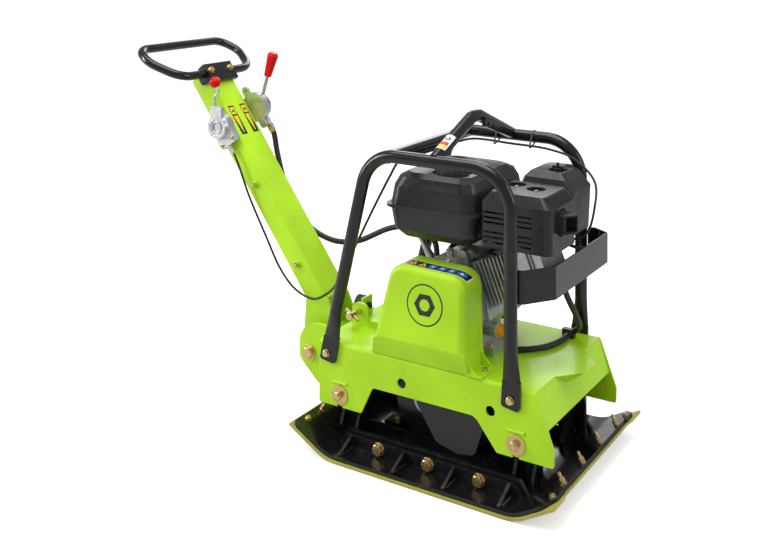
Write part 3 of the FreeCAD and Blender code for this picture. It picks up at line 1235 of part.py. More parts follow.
def build_direction_control():
    side = BAR_HALF + GAP
    base = rod_y(PUMP_X, PUMP_Z, side, side + 16, 44)
    dome = disc_y(PUMP_X, PUMP_Z, side + 16, side + 40, 44, 34)
    hub_y = side + 40
    flats = []
    for point in turned(PUMP_FEET, PUMP_X, PUMP_Z, -BAR_TILT):
        flats.append(rod_y(point[0], point[1], side, side + 8, 12))
        flats.append(prism_y([(PUMP_X - 12, PUMP_Z - 9), (PUMP_X + 12, PUMP_Z + 9),
                              (point[0] + 9, point[1] + 7), (point[0] - 9, point[1] - 7)], side, side + 8))
    body = fuse([base, dome] + flats)
    sweep_angles = [DIRECTION_ANGLE + math.radians(step) for step in (-58, -29, 0, 29, 58)]
    wedge = [(0, 0)] + [(90 * math.sin(angle), 90 * math.cos(angle)) for angle in sweep_angles]
    slot = prism_y(turned(wedge, PUMP_X, PUMP_Z, 0), DIRECTION_Y - 7, DIRECTION_Y + 7)
    body = body.cut([slot, rod_y(PUMP_X, PUMP_Z, DIRECTION_Y - 7, DIRECTION_Y + 7, 16),
                     rod_y(PUMP_X, PUMP_Z, DIRECTION_Y, hub_y + 5, 8 + GAP)])
    port_y = DIRECTION_Y - 1
    port = rod(V(PUMP_X + 22, port_y, PUMP_Z - 29), V(PUMP_X + 40, port_y, PUMP_Z - 53), 9)
    tools = []
    for point in turned(PUMP_FEET, PUMP_X, PUMP_Z, -BAR_TILT):
        tools.append(rod_y(point[0], point[1], side - 1, side + 12, 4 + GAP))
    save("pump_housing", fuse([body, port]).cut(tools))
    sin, cos = math.sin(DIRECTION_ANGLE), math.cos(DIRECTION_ANGLE)
    heading = V(sin, 0, cos)
    centre = V(PUMP_X, DIRECTION_Y, PUMP_Z)
    spindle = rod_y(PUMP_X, PUMP_Z, DIRECTION_Y - 6, hub_y + 6, 8)
    save("direction_lever", fuse([spindle, rod(centre, centre + heading * 118, 5)]))
    start = centre + heading * 98
    grip = Part.makeCone(11, 16.5, DIRECTION_GRIP, start, heading)
    crown = Part.makeCone(16.5, 11, 8, start + heading * DIRECTION_GRIP, heading)
    hollow = Part.makeCylinder(5 + GAP, 21, start - heading, heading)
    save("direction_grip", fuse([grip, crown]).cut(hollow))


def build_drawbar_bolts():
    bolts = []
    for y in CLAMP_BOLT_Y:
        bolts.append(bolt(bar_point(GRIP_ALONG, CLAMP_FACE + GAP, y), BAR_OUT, 10, 20))
    side = BAR_HALF + 8 + 2 * GAP
    for point in turned(PUMP_FEET, PUMP_X, PUMP_Z, -BAR_TILT):
        bolts.append(bolt(V(point[0], side, point[1]), V(0, 1, 0), 8, 16))
    face = -BAR_HALF - THROTTLE_BLOCK - 2 * GAP
    for point in turned(THROTTLE_SCREWS, THROTTLE_X, THROTTLE_Z, -BAR_TILT):
        bolts.append(bolt(V(point[0], face, point[1]), V(0, -1, 0), 6, 14))
    for along in CLIP_ALONG:
        centre = bar_point(along, (BAR_REAR + BAR_FRONT) / 2, -BAR_HALF - 8 - GAP)
        bolts.append(bolt(centre, V(0, -1, 0), 6, 14))
    save("drawbar_bolts", bolts)


# --- stops, lock pin, hoses and cables ----------------------------------------------------
def build_stop_and_lock():
    pad = rod(V(-333, 0, 292), V(-308 - GAP, 0, 292), 24)
    stem = rod(V(-320, 0, 292), V(-290, 0, 292), 5)
    nut = hexagon(V(-302 + GAP, 0, 292), V(1, 0, 0), 17, 8)
    save("rubber_stop", fuse([pad, stem, nut]))
    out = V(0, -1, 0)
    pin = rod_y(LOCK_X, LOCK_Z, -112, -57, 8)
    tee = rod(V(LOCK_X - 20, -104, LOCK_Z + 12), V(LOCK_X + 20, -104, LOCK_Z - 12), 5)
    tip = hexagon(V(LOCK_X, -112, LOCK_Z), out, 19, 8)
    save("lock_pin", fuse([pin, tee, tip]))


def build_hoses():
    """Hydraulic hose from the direction control, and the throttle cable, as they hang at rest."""
    y = BAR_HALF + 14
    port_y = DIRECTION_Y - 1
    hose = [V(PUMP_X + 40.03, port_y, PUMP_Z - 53.04), V(PUMP_X + 55, port_y, PUMP_Z - 73),
            V(-540, y, 500), V(-458, y + 2, 424), V(-382, 84, 438), V(-290, 104, 486), V(-205, 112, 492),
            V(-150, 112, 470), V(-150, 112, 215), V(-SHAFT_X, 147, 205),
            V(-SHAFT_X, 147, SHAFT_Z + 40 + GAP)]
    save("hydraulic_hose", sweep(hose, 8, (16, 60, 60, 60, 60, 40, 24, 34, 18)))
    side = -BAR_HALF - 13
    lean = -BAR_TILT
    start, boot = turned([(-6, -SPOUT_END - GAP), (-6, -SPOUT_END - 36)], THROTTLE_X, THROTTLE_Z, lean)
    cable = [V(start[0], side, start[1]), V(boot[0], side, boot[1]), V(-706, side, 578),
             V(-552, side, 362), V(-440, side - 4, 305), V(-366, side - 6, 342), V(-285, -150, 420),
             V(-232, -168, 500), V(-122, -172, 700), V(CROSSBAR_X - 2, -168, 733),
             V(CROSSBAR_X, -140, 733), V(CROSSBAR_X, 160, 733), V(CROSSBAR_X + 30, 184, 738),
             V(150, 184, 734), V(222, 180, 716), V(286, 166, 672), V(300, 122, 612), V(292, 94, 552),
             V(262, 96, 536), V(222 + 1.2, 99, 528.2)]
    bends = (8, 20, 40, 50, 40, 50, 60, 60, 20, 12, 20, 20, 60, 30, 40, 40, 14, 10)
    save("throttle_cable", [sweep(cable, 3, bends)])


def main():
    os.makedirs("parts", exist_ok=True)
    build_sole_mat()
    build_base_plate()
    build_extension_plates()
    build_base_fasteners()
    build_exciter_housing()
    build_exciter_covers()
    build_exciter_bearings()
    build_exciter_shafts()
    build_phase_cylinder()
    build_rubber_mounts()
    build_hood()
    build_cage()
    build_belt_cover()
    build_belt()
    build_crankcase()
    build_cylinder()
    build_crank_assembly()
    build_fan_housing()
    build_fuel_tank()
    build_muffler()
    build_air_cleaner()
    build_carburettor()
    build_small_engine_parts()
    build_engine_bolts()
    build_muffler_guard()
    build_drain_hose()
    build_hose_clip()
    build_drawbar()
    build_pivot()
    build_grip()
    build_throttle()
    build_direction_control()
    build_drawbar_bolts()
    build_stop_and_lock()
    build_hoses()


main()
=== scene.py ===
"""Looks of the plate compactor: materials, hoses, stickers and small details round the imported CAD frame."""

import json
import math

import bmesh
import bpy
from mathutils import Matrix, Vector
from mathutils.bvhtree import BVHTree
from mathutils.geometry import convex_hull_2d


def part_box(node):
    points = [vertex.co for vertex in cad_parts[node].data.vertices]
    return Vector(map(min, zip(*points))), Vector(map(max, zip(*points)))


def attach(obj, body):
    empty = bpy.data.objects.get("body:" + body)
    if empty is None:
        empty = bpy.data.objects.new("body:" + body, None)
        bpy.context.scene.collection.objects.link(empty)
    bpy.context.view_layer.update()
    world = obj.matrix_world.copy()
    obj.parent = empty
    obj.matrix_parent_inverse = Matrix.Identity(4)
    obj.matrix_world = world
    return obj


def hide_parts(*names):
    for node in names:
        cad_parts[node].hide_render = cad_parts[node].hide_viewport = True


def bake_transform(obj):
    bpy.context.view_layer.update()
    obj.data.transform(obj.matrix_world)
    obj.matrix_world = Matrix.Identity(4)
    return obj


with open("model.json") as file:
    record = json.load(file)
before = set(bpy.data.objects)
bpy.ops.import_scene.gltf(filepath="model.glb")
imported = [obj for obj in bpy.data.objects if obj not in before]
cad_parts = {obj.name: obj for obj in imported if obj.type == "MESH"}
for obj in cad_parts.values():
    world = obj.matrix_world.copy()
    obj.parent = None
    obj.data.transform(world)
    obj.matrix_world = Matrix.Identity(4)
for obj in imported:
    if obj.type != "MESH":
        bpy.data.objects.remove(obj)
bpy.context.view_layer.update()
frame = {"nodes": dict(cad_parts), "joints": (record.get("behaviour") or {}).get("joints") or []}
NODES = frame["nodes"]
JOINTS = {joint["name"]: joint for joint in frame["joints"]}
MM = 0.001


# ---------------------------------------------------------------- materials

class Shader:
    """A node material under construction: a Principled surface fed by object-space textures."""

    def __init__(self, name):
        self.material = bpy.data.materials.new(name)
        self.material.use_nodes = True
        self.tree = self.material.node_tree
        self.tree.nodes.clear()
        self.surface = self.add("ShaderNodeBsdfPrincipled")
        output = self.add("ShaderNodeOutputMaterial")
        self.link(self.surface.outputs[0], output.inputs["Surface"])
        self.position = self.add("ShaderNodeTexCoord").outputs["Object"]

    def add(self, kind, **settings):
        node = self.tree.nodes.new(kind)
        for key, value in settings.items():
            setattr(node, key, value)
        return node

    def link(self, source, target):
        self.tree.links.new(source, target)

    def set(self, **values):
        for key, value in values.items():
            self.surface.inputs[key.replace("_", " ")].default_value = value

    def noise(self, scale, detail=3.0, stretch=(1, 1, 1), distortion=0.0):
        mapping = self.add("ShaderNodeMapping")
        mapping.inputs["Scale"].default_value = stretch
        self.link(self.position, mapping.inputs["Vector"])
        node = self.add("ShaderNodeTexNoise")
        node.inputs["Scale"].default_value = scale
        node.inputs["Detail"].default_value = detail
        node.inputs["Distortion"].default_value = distortion
        self.link(mapping.outputs[0], node.inputs["Vector"])
        return node.outputs["Fac"]

    def cells(self, scale, feature="F1"):
        node = self.add("ShaderNodeTexVoronoi", feature=feature)
        node.inputs["Scale"].default_value = scale
        self.link(self.position, node.inputs["Vector"])
        return node.outputs["Distance"]

    def ramp(self, value, low, high, to_low=0.0, to_high=1.0):
        node = self.add("ShaderNodeMapRange")
        limits = {"From Min": low, "From Max": high, "To Min": to_low, "To Max": to_high}
        for key, number in limits.items():
            node.inputs[key].default_value = number
        self.link(value, node.inputs["Value"])
        return node.outputs[0]

    def math(self, operation, first, second):
        node = self.add("ShaderNodeMath", operation=operation, use_clamp=True)
        for slot, value in enumerate((first, second)):
            if isinstance(value, (int, float)):
                node.inputs[slot].default_value = value
            else:
                self.link(value, node.inputs[slot])
        return node.outputs[0]

    def mix(self, factor, first, second):
        """Colour mix; first and second are sockets or RGB tuples."""
        node = self.add("ShaderNodeMix", data_type="RGBA")
        if isinstance(factor, (int, float)):
            node.inputs["Factor"].default_value = factor
        else:
            self.link(factor, node.inputs["Factor"])
        for slot, value in ((6, first), (7, second)):
            if isinstance(value, tuple):
                node.inputs[slot].default_value = (*value, 1.0)
            else:
                self.link(value, node.inputs[slot])
        return node.outputs[2]

    def edges(self, radius):
        """Rounded normal for edge highlights, and a mask that is 1 on edges and 0 on flats."""
        bevel = self.add("ShaderNodeBevel", samples=4)
        bevel.inputs["Radius"].default_value = radius
        normal = self.add("ShaderNodeNewGeometry").outputs["Normal"]
        dot = self.add("ShaderNodeVectorMath", operation="DOT_PRODUCT")
        self.link(bevel.outputs[0], dot.inputs[0])
        self.link(normal, dot.inputs[1])
        return bevel.outputs[0], self.ramp(dot.outputs["Value"], 0.995, 0.90)

    def bump(self, height, strength, distance, normal=None):
        node = self.add("ShaderNodeBump")
        node.inputs["Strength"].default_value = strength
        node.inputs["Distance"].default_value = distance
        self.link(height, node.inputs["Height"])
        if normal is not None:
            self.link(normal, node.inputs["Normal"])
        return node.outputs[0]

    def finish(self, colour, roughness, normal):
        self.link(colour, self.surface.inputs["Base Color"])
        self.link(roughness, self.surface.inputs["Roughness"])
        self.link(normal, self.surface.inputs["Normal"])
        return self.material


def scaled(colour, factor, lift=0.0):
    """The colour made brighter or darker by a factor, with a lift added to every channel."""
    return tuple(min(1.0, channel * factor + lift) for channel in colour)


def paint(name, colour, wear_colour, roughness, coat, edge=1.2 * MM, peel=0.10):
    """Sprayed paint: orange peel, slow gloss changes, a little dust and rubbed edges."""
    s = Shader(name)
    rounded, edge_mask = s.edges(edge)
    cloud = s.noise(6, 4)
    dust = s.ramp(s.noise(38, 6, distortion=0.6), 0.56, 0.80, 0.0, 0.10)
    rubbed = s.math("MULTIPLY", edge_mask, s.ramp(s.noise(90, 5), 0.52, 0.70, 0.0, 0.55))
    tone = s.mix(s.ramp(cloud, 0.3, 0.7), scaled(colour, 0.86), scaled(colour, 1.08, 0.002))
    tone = s.mix(dust, tone, scaled(colour, 0.6, 0.16))
    tone = s.mix(rubbed, tone, wear_colour)
    rough = s.ramp(s.noise(22, 5), 0.25, 0.75, roughness * 0.8, roughness * 1.25)
    rough = s.math("ADD", rough, s.math("MULTIPLY", rubbed, 0.25))
    s.set(Coat_Weight=coat, Coat_Roughness=0.08, Specular_IOR_Level=0.35)
    return s.finish(tone, rough, s.bump(s.noise(620, 2), peel, 0.25 * MM, rounded))


def cast_metal(name, colour, roughness, metallic):
    """Sand-cast metal: grainy skin, darker pits, and a painted highlight that lightens every edge."""
    s = Shader(name)
    rounded, edge_mask = s.edges(1.5 * MM)
    grain = s.noise(750, 6)
    pits = s.ramp(s.cells(420), 0.0, 0.35)
    stain = s.ramp(s.noise(16, 6, distortion=1.0), 0.42, 0.72)
    tone = s.mix(stain, colour, scaled(colour, 0.62))
    # painted highlight: every edge is mixed halfway to a lighter tone of the metal
    tone = s.mix(s.math("MULTIPLY", edge_mask, 0.5), tone, scaled(colour, 1.35))
    height = s.math("MULTIPLY", grain, pits)
    s.set(Metallic=metallic, Specular_IOR_Level=0.5)
    rough = s.ramp(grain, 0.3, 0.7, roughness - 0.08, roughness + 0.10)
    return s.finish(tone, rough, s.bump(height, 0.35, 0.4 * MM, rounded))


def plated(name, first, second, roughness):
    """Passivated zinc: the tint drifts between two hues, over fine forging marks."""
    s = Shader(name)
    rounded, edge_mask = s.edges(0.6 * MM)
    drift = s.ramp(s.noise(75, 3, distortion=1.5), 0.35, 0.65)
    tone = s.mix(drift, first, second)
    # painted highlight: every edge is mixed towards pale silver
    tone = s.mix(s.math("MULTIPLY", edge_mask, 0.45), tone, (0.86, 0.82, 0.70))
    rough = s.ramp(s.noise(300, 4), 0.3, 0.7, roughness - 0.07, roughness + 0.10)
    s.set(Metallic=0.95)
    return s.finish(tone, rough, s.bump(s.noise(900, 3), 0.12, 0.15 * MM, rounded))


def machined(name, colour):
    """Turned steel with fine tool lines round the Y axis."""
    s = Shader(name)
    rounded, edge_mask = s.edges(0.8 * MM)
    lines = s.noise(60, 2, stretch=(4, 60, 4))
    tone = s.mix(s.ramp(lines, 0.3, 0.7), scaled(colour, 0.8), colour)
    # painted highlight: every edge is mixed towards light grey
    tone = s.mix(s.math("MULTIPLY", edge_mask, 0.4), tone, (0.85, 0.85, 0.85))
    s.set(Metallic=1.0)
    return s.finish(tone, s.ramp(lines, 0.2, 0.8, 0.22, 0.38), s.bump(lines, 0.15, 0.1 * MM, rounded))


def rubber(name, colour, roughness=0.62):
    s = Shader(name)
    rounded, _ = s.edges(1.0 * MM)
    bloom = s.ramp(s.noise(28, 6, distortion=0.8), 0.45, 0.8, 0.0, 0.35)
    tone = s.mix(bloom, colour, scaled(colour, 1.6, 0.02))
    rough = s.ramp(s.noise(120, 4), 0.3, 0.7, roughness - 0.1, roughness + 0.12)
    return s.finish(tone, rough, s.bump(s.noise(1400, 3), 0.18, 0.15 * MM, rounded))


def moulded(name, colour, roughness, grain_scale, grain_depth, specular=0.5):
    """Injection moulded plastic with a spark-eroded grain."""
    s = Shader(name)
    rounded, edge_mask = s.edges(1.6 * MM)
    cloud = s.ramp(s.noise(9, 4), 0.3, 0.7)
    tone = s.mix(cloud, scaled(colour, 0.85), scaled(colour, 1.15))
    # painted highlight: every edge is mixed towards a brighter tone of the plastic
    tone = s.mix(s.math("MULTIPLY", edge_mask, 0.25), tone, scaled(colour, 2.2, 0.01))
    rough = s.ramp(s.noise(60, 5), 0.3, 0.7, roughness - 0.06, roughness + 0.08)
    s.set(Specular_IOR_Level=specular)
    return s.finish(tone, rough, s.bump(s.cells(grain_scale), grain_depth, 0.12 * MM, rounded))


def polyurethane(name, colour):
    """Cast mat: cloudy translucent olive with scuffed faces."""
    s = Shader(name)
    rounded, edge_mask = s.edges(1.0 * MM)
    cloud = s.ramp(s.noise(12, 5, distortion=0.7), 0.3, 0.7)
    tone = s.mix(cloud, scaled(colour, 0.8), colour)
    # painted highlight: every edge is mixed towards pale olive
    tone = s.mix(s.math("MULTIPLY", edge_mask, 0.5), tone, (0.66, 0.62, 0.14))
    s.set(Subsurface_Weight=0.35, Subsurface_Scale=0.01, Transmission_Weight=0.12)
    rough = s.ramp(s.noise(180, 4), 0.3, 0.7, 0.28, 0.48)
    return s.finish(tone, rough, s.bump(s.noise(300, 4), 0.12, 0.3 * MM, rounded))


def vinyl(name, colour):
    """Printed sticker film: thin, slightly crinkled and satin."""
    s = Shader(name)
    tone = s.mix(s.ramp(s.noise(55, 4), 0.35, 0.7), scaled(colour, 0.90), colour)
    rough = s.ramp(s.noise(140, 3), 0.3, 0.7, 0.26, 0.40)
    s.set(Coat_Weight=0.3, Coat_Roughness=0.2)
    return s.finish(tone, rough, s.bump(s.noise(160, 2), 0.06, 0.2 * MM))


LIME = paint("lime_powder_coat", (0.395, 0.680, 0.006), (0.62, 0.80, 0.25), 0.36, 0.12)
BLACK = paint("black_gloss_paint", (0.0050, 0.0050, 0.0054), (0.08, 0.08, 0.08), 0.22, 0.40)
COVER_BLACK = moulded("satin_black_moulding", (0.014, 0.014, 0.015), 0.34, 900, 0.10)
TANK_BLACK = moulded("tank_black_moulding", (0.017, 0.017, 0.018), 0.30, 1100, 0.06)
DARK_PLASTIC = moulded("dark_grey_plastic", (0.035, 0.035, 0.038), 0.5, 700, 0.25)
CAST_ALUMINIUM = cast_metal("cast_aluminium", (0.66, 0.67, 0.68), 0.36, 0.85)
CAST_IRON = cast_metal("cast_iron", (0.09, 0.085, 0.08), 0.6, 0.6)
HOT_STEEL = paint("heatproof_black", (0.016, 0.015, 0.014), (0.12, 0.09, 0.07), 0.5, 0.0, peel=0.25)
ZINC = plated("yellow_zinc", (0.78, 0.52, 0.18), (0.70, 0.58, 0.30), 0.22)
STEEL = machined("machined_steel", (0.56, 0.56, 0.57))
RUBBER = rubber("black_rubber", (0.013, 0.013, 0.013))
HOSE_RUBBER = rubber("hose_cover", (0.010, 0.010, 0.011), 0.45)
MAT = polyurethane("polyurethane_mat", (0.46, 0.42, 0.085))
RED = moulded("red_moulding", (0.62, 0.0, 0.002), 0.20, 300, 0.03, 0.25)
ORANGE = moulded("orange_moulding", (0.95, 0.31, 0.008), 0.38, 500, 0.12)
FILM_BLACK = vinyl("film_black", (0.010, 0.010, 0.011))
FILM_WHITE = vinyl("film_white", (0.82, 0.82, 0.80))
FILM_YELLOW = vinyl("film_yellow", (0.83, 0.58, 0.02))
FILM_BLUE = vinyl("film_blue", (0.02, 0.16, 0.55))
FILM_RED = vinyl("film_red", (0.66, 0.03, 0.02))

FINISHES = {
    LIME: "hood drawbar belt_cover",
    BLACK: "base_plate extension_plate_left extension_plate_right cage_hoops cage_crossbar lifting_bow "
           "grip_loop grip_clamp muffler_guard belt_guard exciter_housing exciter_covers phase_cylinder "
           "hose_clip",
    COVER_BLACK: "muffler_cover air_cleaner fan_housing",
    TANK_BLACK: "fuel_tank",
    DARK_PLASTIC: "fuel_cap recoil_grip choke_lever",
    CAST_ALUMINIUM: "crankcase cylinder_block rocker_cover carburettor throttle_housing pump_housing "
                    "throttle_lever flywheel",
    CAST_IRON: "exciter_pulley",
    HOT_STEEL: "muffler",
    ZINC: "extension_bolts mat_bolts mount_bolts cage_bolts pivot_bolt engine_bolts drawbar_bolts "
          "lock_pin",
    STEEL: "direction_lever clutch crankshaft exciter_bearings eccentric_shaft_front "
           "eccentric_shaft_rear",
    RUBBER: "rubber_mounts rubber_stop pivot_bushes v_belt throttle_cable",
    HOSE_RUBBER: "hydraulic_hose drain_hose",
    MAT: "sole_mat",
    RED: "throttle_knob direction_grip engine_switch",
    ORANGE: "oil_dipstick",
}


def dress_frame():
    for material, names in FINISHES.items():
        for name in names.split():
            mesh = NODES[name].data
            mesh.materials.clear()
            mesh.materials.append(material)


# ---------------------------------------------------------------- mesh helpers

def new_piece(name, builder, material, body, smooth=True):
    """Turns a filled bmesh into a piece that rides on body, or on none yet, and frees the bmesh."""
    bmesh.ops.recalc_face_normals(builder, faces=builder.faces)
    mesh = bpy.data.meshes.new(name)
    builder.to_mesh(mesh)
    builder.free()
    mesh.materials.append(material)
    for polygon in mesh.polygons:
        polygon.use_smooth = smooth
    if smooth:
        mesh.set_sharp_from_angle(angle=math.radians(35))
    piece = bpy.data.objects.new(name, mesh)
    bpy.context.scene.collection.objects.link(piece)
    if body is not None:
        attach(piece, body)
    return piece


def smooth_path(points, step=4 * MM):
    """Centripetal Catmull-Rom curve through the points, resampled at an even step."""
    knots = [points[0] * 2 - points[1]] + list(points) + [points[-1] * 2 - points[-2]]
    dense = []
    for before, start, end, after in zip(knots, knots[1:], knots[2:], knots[3:]):
        t0 = 0.0
        t1 = t0 + (start - before).length ** 0.5
        t2 = t1 + (end - start).length ** 0.5
        t3 = t2 + (after - end).length ** 0.5
        pieces = max(2, int((end - start).length / step))
        for index in range(pieces):
            t = t1 + (t2 - t1) * index / pieces
            a1 = before.lerp(start, (t - t0) / (t1 - t0))
            a2 = start.lerp(end, (t - t1) / (t2 - t1))
            a3 = end.lerp(after, (t - t2) / (t3 - t2))
            b1 = a1.lerp(a2, (t - t0) / (t2 - t0))
            b2 = a2.lerp(a3, (t - t1) / (t3 - t1))
            dense.append(b1.lerp(b2, (t - t1) / (t2 - t1)))
    dense.append(points[-1].copy())
    return dense


def add_tube(builder, path, radius, sides=16):
    """Closed round tube; radius is a number, or a function of the distance along the path."""
    side = Vector((0.13, 0.97, 0.21))
    rings = []
    travelled = 0.0
    for index, point in enumerate(path):
        ahead = path[min(index + 1, len(path) - 1)]
        behind = path[max(index - 1, 0)]
        forward = (ahead - behind).normalized()
        side = (side - forward * side.dot(forward)).normalized()
        up = forward.cross(side)
        travelled += (point - behind).length
        size = radius(travelled) if callable(radius) else radius
        ring = []
        for corner in range(sides):
            angle = 2 * math.pi * corner / sides
            spoke = side * math.cos(angle) + up * math.sin(angle)
            ring.append(builder.verts.new(point + spoke * size))
        rings.append(ring)
    for first, second in zip(rings, rings[1:]):
        for corner in range(sides):
            after = (corner + 1) % sides
            builder.faces.new((first[corner], first[after], second[after], second[corner]))
    builder.faces.new(rings[0][::-1])
    builder.faces.new(rings[-1])


def add_turned(builder, base, direction, profile, sides=24):
    """Turned shape on the line from base along direction; profile is (distance, radius) pairs."""
    forward = direction.normalized()
    side = forward.orthogonal().normalized()
    up = forward.cross(side)
    rings = []
    for distance, radius in profile:
        ring = []
        for corner in range(sides):
            angle = 2 * math.pi * (corner + 0.5) / sides
            spoke = side * math.cos(angle) + up * math.sin(angle)
            ring.append(builder.verts.new(base + forward * distance + spoke * radius))
        rings.append(ring)
    for first, second in zip(rings, rings[1:]):
        for corner in range(sides):
            after = (corner + 1) % sides
            builder.faces.new((first[corner], first[after], second[after], second[corner]))
    builder.faces.new(rings[0][::-1])
    builder.faces.new(rings[-1])


def surface_tree(*nodes):
    """One search tree over the rest meshes of these CAD nodes."""
    vertices, faces = [], []
    for name in nodes:
        mesh = NODES[name].data
        offset = len(vertices)
        vertices.extend(vertex.co.copy() for vertex in mesh.vertices)
        faces.extend([index + offset for index in polygon.vertices] for polygon in mesh.polygons)
    return BVHTree.FromPolygons(vertices, faces)


# ---------------------------------------------------------------- stickers

FILM = 0.22 * MM                 # each printed layer stands this far above the one below


class Sticker:
    """Flat artwork pressed on to a CAD surface, drawn in metres across and up from its centre."""

    def __init__(self, name, nodes, body, centre, across, up, reach=40 * MM):
        self.name, self.body, self.reach = name, body, reach
        self.tree = surface_tree(*nodes)
        self.centre = Vector(centre)
        self.across = Vector(across).normalized()
        self.normal = self.across.cross(Vector(up)).normalized()
        self.up = self.normal.cross(self.across)
        self.count = 0

    def press(self, x, y, layer):
        point = self.centre + self.across * x + self.up * y
        hit, _, _, _ = self.tree.ray_cast(point + self.normal * self.reach, -self.normal, self.reach * 2)
        base = hit if hit is not None else point
        return base + self.normal * FILM * (layer + 1)

    def shape(self, outline, layer, material, grid=4 * MM):
        """Fills a closed outline, cuts it on a grid so that it can bend, and presses it on."""
        builder = bmesh.new()
        corners = [builder.verts.new((x, y, 0)) for x, y in outline]
        builder.faces.new(corners)
        for axis in (0, 1):
            low = min(point[axis] for point in outline)
            high = max(point[axis] for point in outline)
            for index in range(1, int((high - low) / grid) + 1):
                plane = Vector((0, 0, 0))
                plane[axis] = low + index * grid
                direction = Vector((0, 0, 0))
                direction[axis] = 1
                everything = list(builder.verts) + list(builder.edges) + list(builder.faces)
                bmesh.ops.bisect_plane(builder, geom=everything, plane_co=plane, plane_no=direction)
        bmesh.ops.triangulate(builder, faces=builder.faces)
        for vertex in builder.verts:
            vertex.co = self.press(vertex.co.x, vertex.co.y, layer)
        skirt = bmesh.ops.extrude_face_region(builder, geom=list(builder.faces))
        for element in skirt["geom"]:
            if isinstance(element, bmesh.types.BMVert):
                element.co -= self.normal * FILM * 0.9
        self.count += 1
        name = f"{self.name}_{self.count}"
        return new_piece(name, builder, material, self.body, smooth=False)


def rounded_rectangle(width, height, radius, centre=(0, 0), steps=5):
    points = []
    for quarter, (sx, sy) in enumerate(((1, 1), (-1, 1), (-1, -1), (1, -1))):
        for step in range(steps + 1):
            angle = math.pi / 2 * (quarter + step / steps)
            points.append((centre[0] + sx * (width / 2 - radius) + radius * math.cos(angle),
                           centre[1] + sy * (height / 2 - radius) + radius * math.sin(angle)))
    return points


def regular(radius, sides, centre=(0, 0), turn=0.0):
    points = []
    for corner in range(sides):
        angle = turn + 2 * math.pi * corner / sides
        points.append((centre[0] + radius * math.cos(angle), centre[1] + radius * math.sin(angle)))
    return points


def cover_emblem():
    """A plain ring round a hexagon on the belt cover's outer face."""
    low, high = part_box("belt_cover")
    centre = ((low.x + high.x) / 2 + 5 * MM, low.y, low.z + 0.64 * (high.z - low.z))
    mark = Sticker("cover_emblem", ["belt_cover"], "upper_mass", centre, (1, 0, 0), (0, 0, 1), 70 * MM)
    mark.shape(regular(50 * MM, 48), 0, FILM_BLACK)
    mark.shape(regular(46.5 * MM, 48), 1, LIME)
    mark.shape(regular(29 * MM, 6), 2, FILM_BLACK)
    mark.shape(regular(14 * MM, 30), 3, LIME)


def cover_strip():
    """Row of plain safety signs on the sloping edge above the belt cover's face: triangles and discs."""
    low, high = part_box("belt_cover")
    centre = (low.x + 0.52 * (high.x - low.x) + 12 * MM, low.y + 46 * MM, high.z - 3 * MM)
    slope = (0, 0.8, 0.6)
    strip = Sticker("cover_signs", ["belt_cover"], "upper_mass", centre, (1, 0, 0), slope, 60 * MM)
    width, height = 165 * MM, 30 * MM
    strip.shape(rounded_rectangle(width, height, 2.5 * MM), 0, FILM_WHITE)
    strip.shape(rounded_rectangle(width - 3 * MM, height - 3 * MM, 2 * MM), 1, FILM_BLACK)
    pitch = 26 * MM
    for index in range(6):
        place = ((index - 2.5) * pitch, 0)
        if index < 2:
            strip.shape(regular(12.5 * MM, 3, (place[0], -2 * MM), math.pi / 2), 2, FILM_YELLOW)
            strip.shape(regular(3.4 * MM, 12, (place[0], -2 * MM)), 3, FILM_BLACK)
        else:
            strip.shape(regular(11 * MM, 26, place), 2, FILM_BLUE)
            strip.shape(regular(4.2 * MM, 6, place, math.pi / 6), 3, FILM_WHITE)


PIVOT = Vector(JOINTS["drawbar_pivot"]["pos_m"])
BAR_UP = Vector((-0.6, 0.0, 0.8))        # the drawbar leans back with a 3-4-5 slope
BAR_OUT = Vector((0.8, 0.0, 0.6))
BAR_FRONT = 101 * MM
BAR_HALF = 50 * MM


def bar_point(along, out, y):
    return PIVOT + BAR_UP * along + BAR_OUT * out + Vector((0, y, 0))


def lever_signs():
    """Black and yellow sign beside each lever on the drawbar's front face."""
    along = 0.660
    for name, y in (("throttle_sign", -24 * MM), ("direction_sign", 26 * MM)):
        centre = bar_point(along, BAR_FRONT, y)
        sign = Sticker(name, ["drawbar"], "drawbar_arm", centre, (0, 1, 0), BAR_UP, 30 * MM)
        sign.shape(rounded_rectangle(24 * MM, 96 * MM, 2 * MM), 0, FILM_BLACK)
        wedge = [(-1.5 * MM, -42 * MM), (1.5 * MM, -42 * MM), (9 * MM, 14 * MM), (-9 * MM, 14 * MM)]
        sign.shape(wedge, 1, FILM_YELLOW)
        sign.shape(rounded_rectangle(19 * MM, 24 * MM, 1 * MM, (0, 31 * MM)), 1, FILM_YELLOW)
        sign.shape(regular(7 * MM, 3, (0, 30 * MM), math.pi / 2), 2, FILM_BLACK)


def bow_sign():
    """Small lifting sign on the near leg of the lifting bow."""
    low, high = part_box("lifting_bow")
    span = high - low
    centre = Vector(((low.x + high.x) / 2, low.y + 0.20 * span.y, low.z + 0.52 * span.z))
    centre -= Vector((0, 22, 15)) * MM
    leg = (0, 0.82, 0.57)
    grid = 2.5 * MM
    sign = Sticker("bow_sign", ["lifting_bow"], "upper_mass", centre, (1, 0, 0), leg, 60 * MM)
    sign.shape(rounded_rectangle(24 * MM, 60 * MM, 2 * MM), 0, FILM_WHITE, grid)
    sign.shape(regular(7 * MM, 20, (0, 14 * MM)), 1, FILM_BLACK, grid)
    sign.shape(regular(3.5 * MM, 20, (0, 14 * MM)), 2, FILM_WHITE, grid)
    sign.shape(rounded_rectangle(20 * MM, 12 * MM, 1 * MM, (0, -7 * MM)), 1, FILM_RED, grid)
    sign.shape(rounded_rectangle(20 * MM, 13 * MM, 1 * MM, (0, -20.5 * MM)), 1, FILM_YELLOW, grid)


# ---------------------------------------------------------------- hoses and cables

def mm(*point):
    return Vector(point) * MM


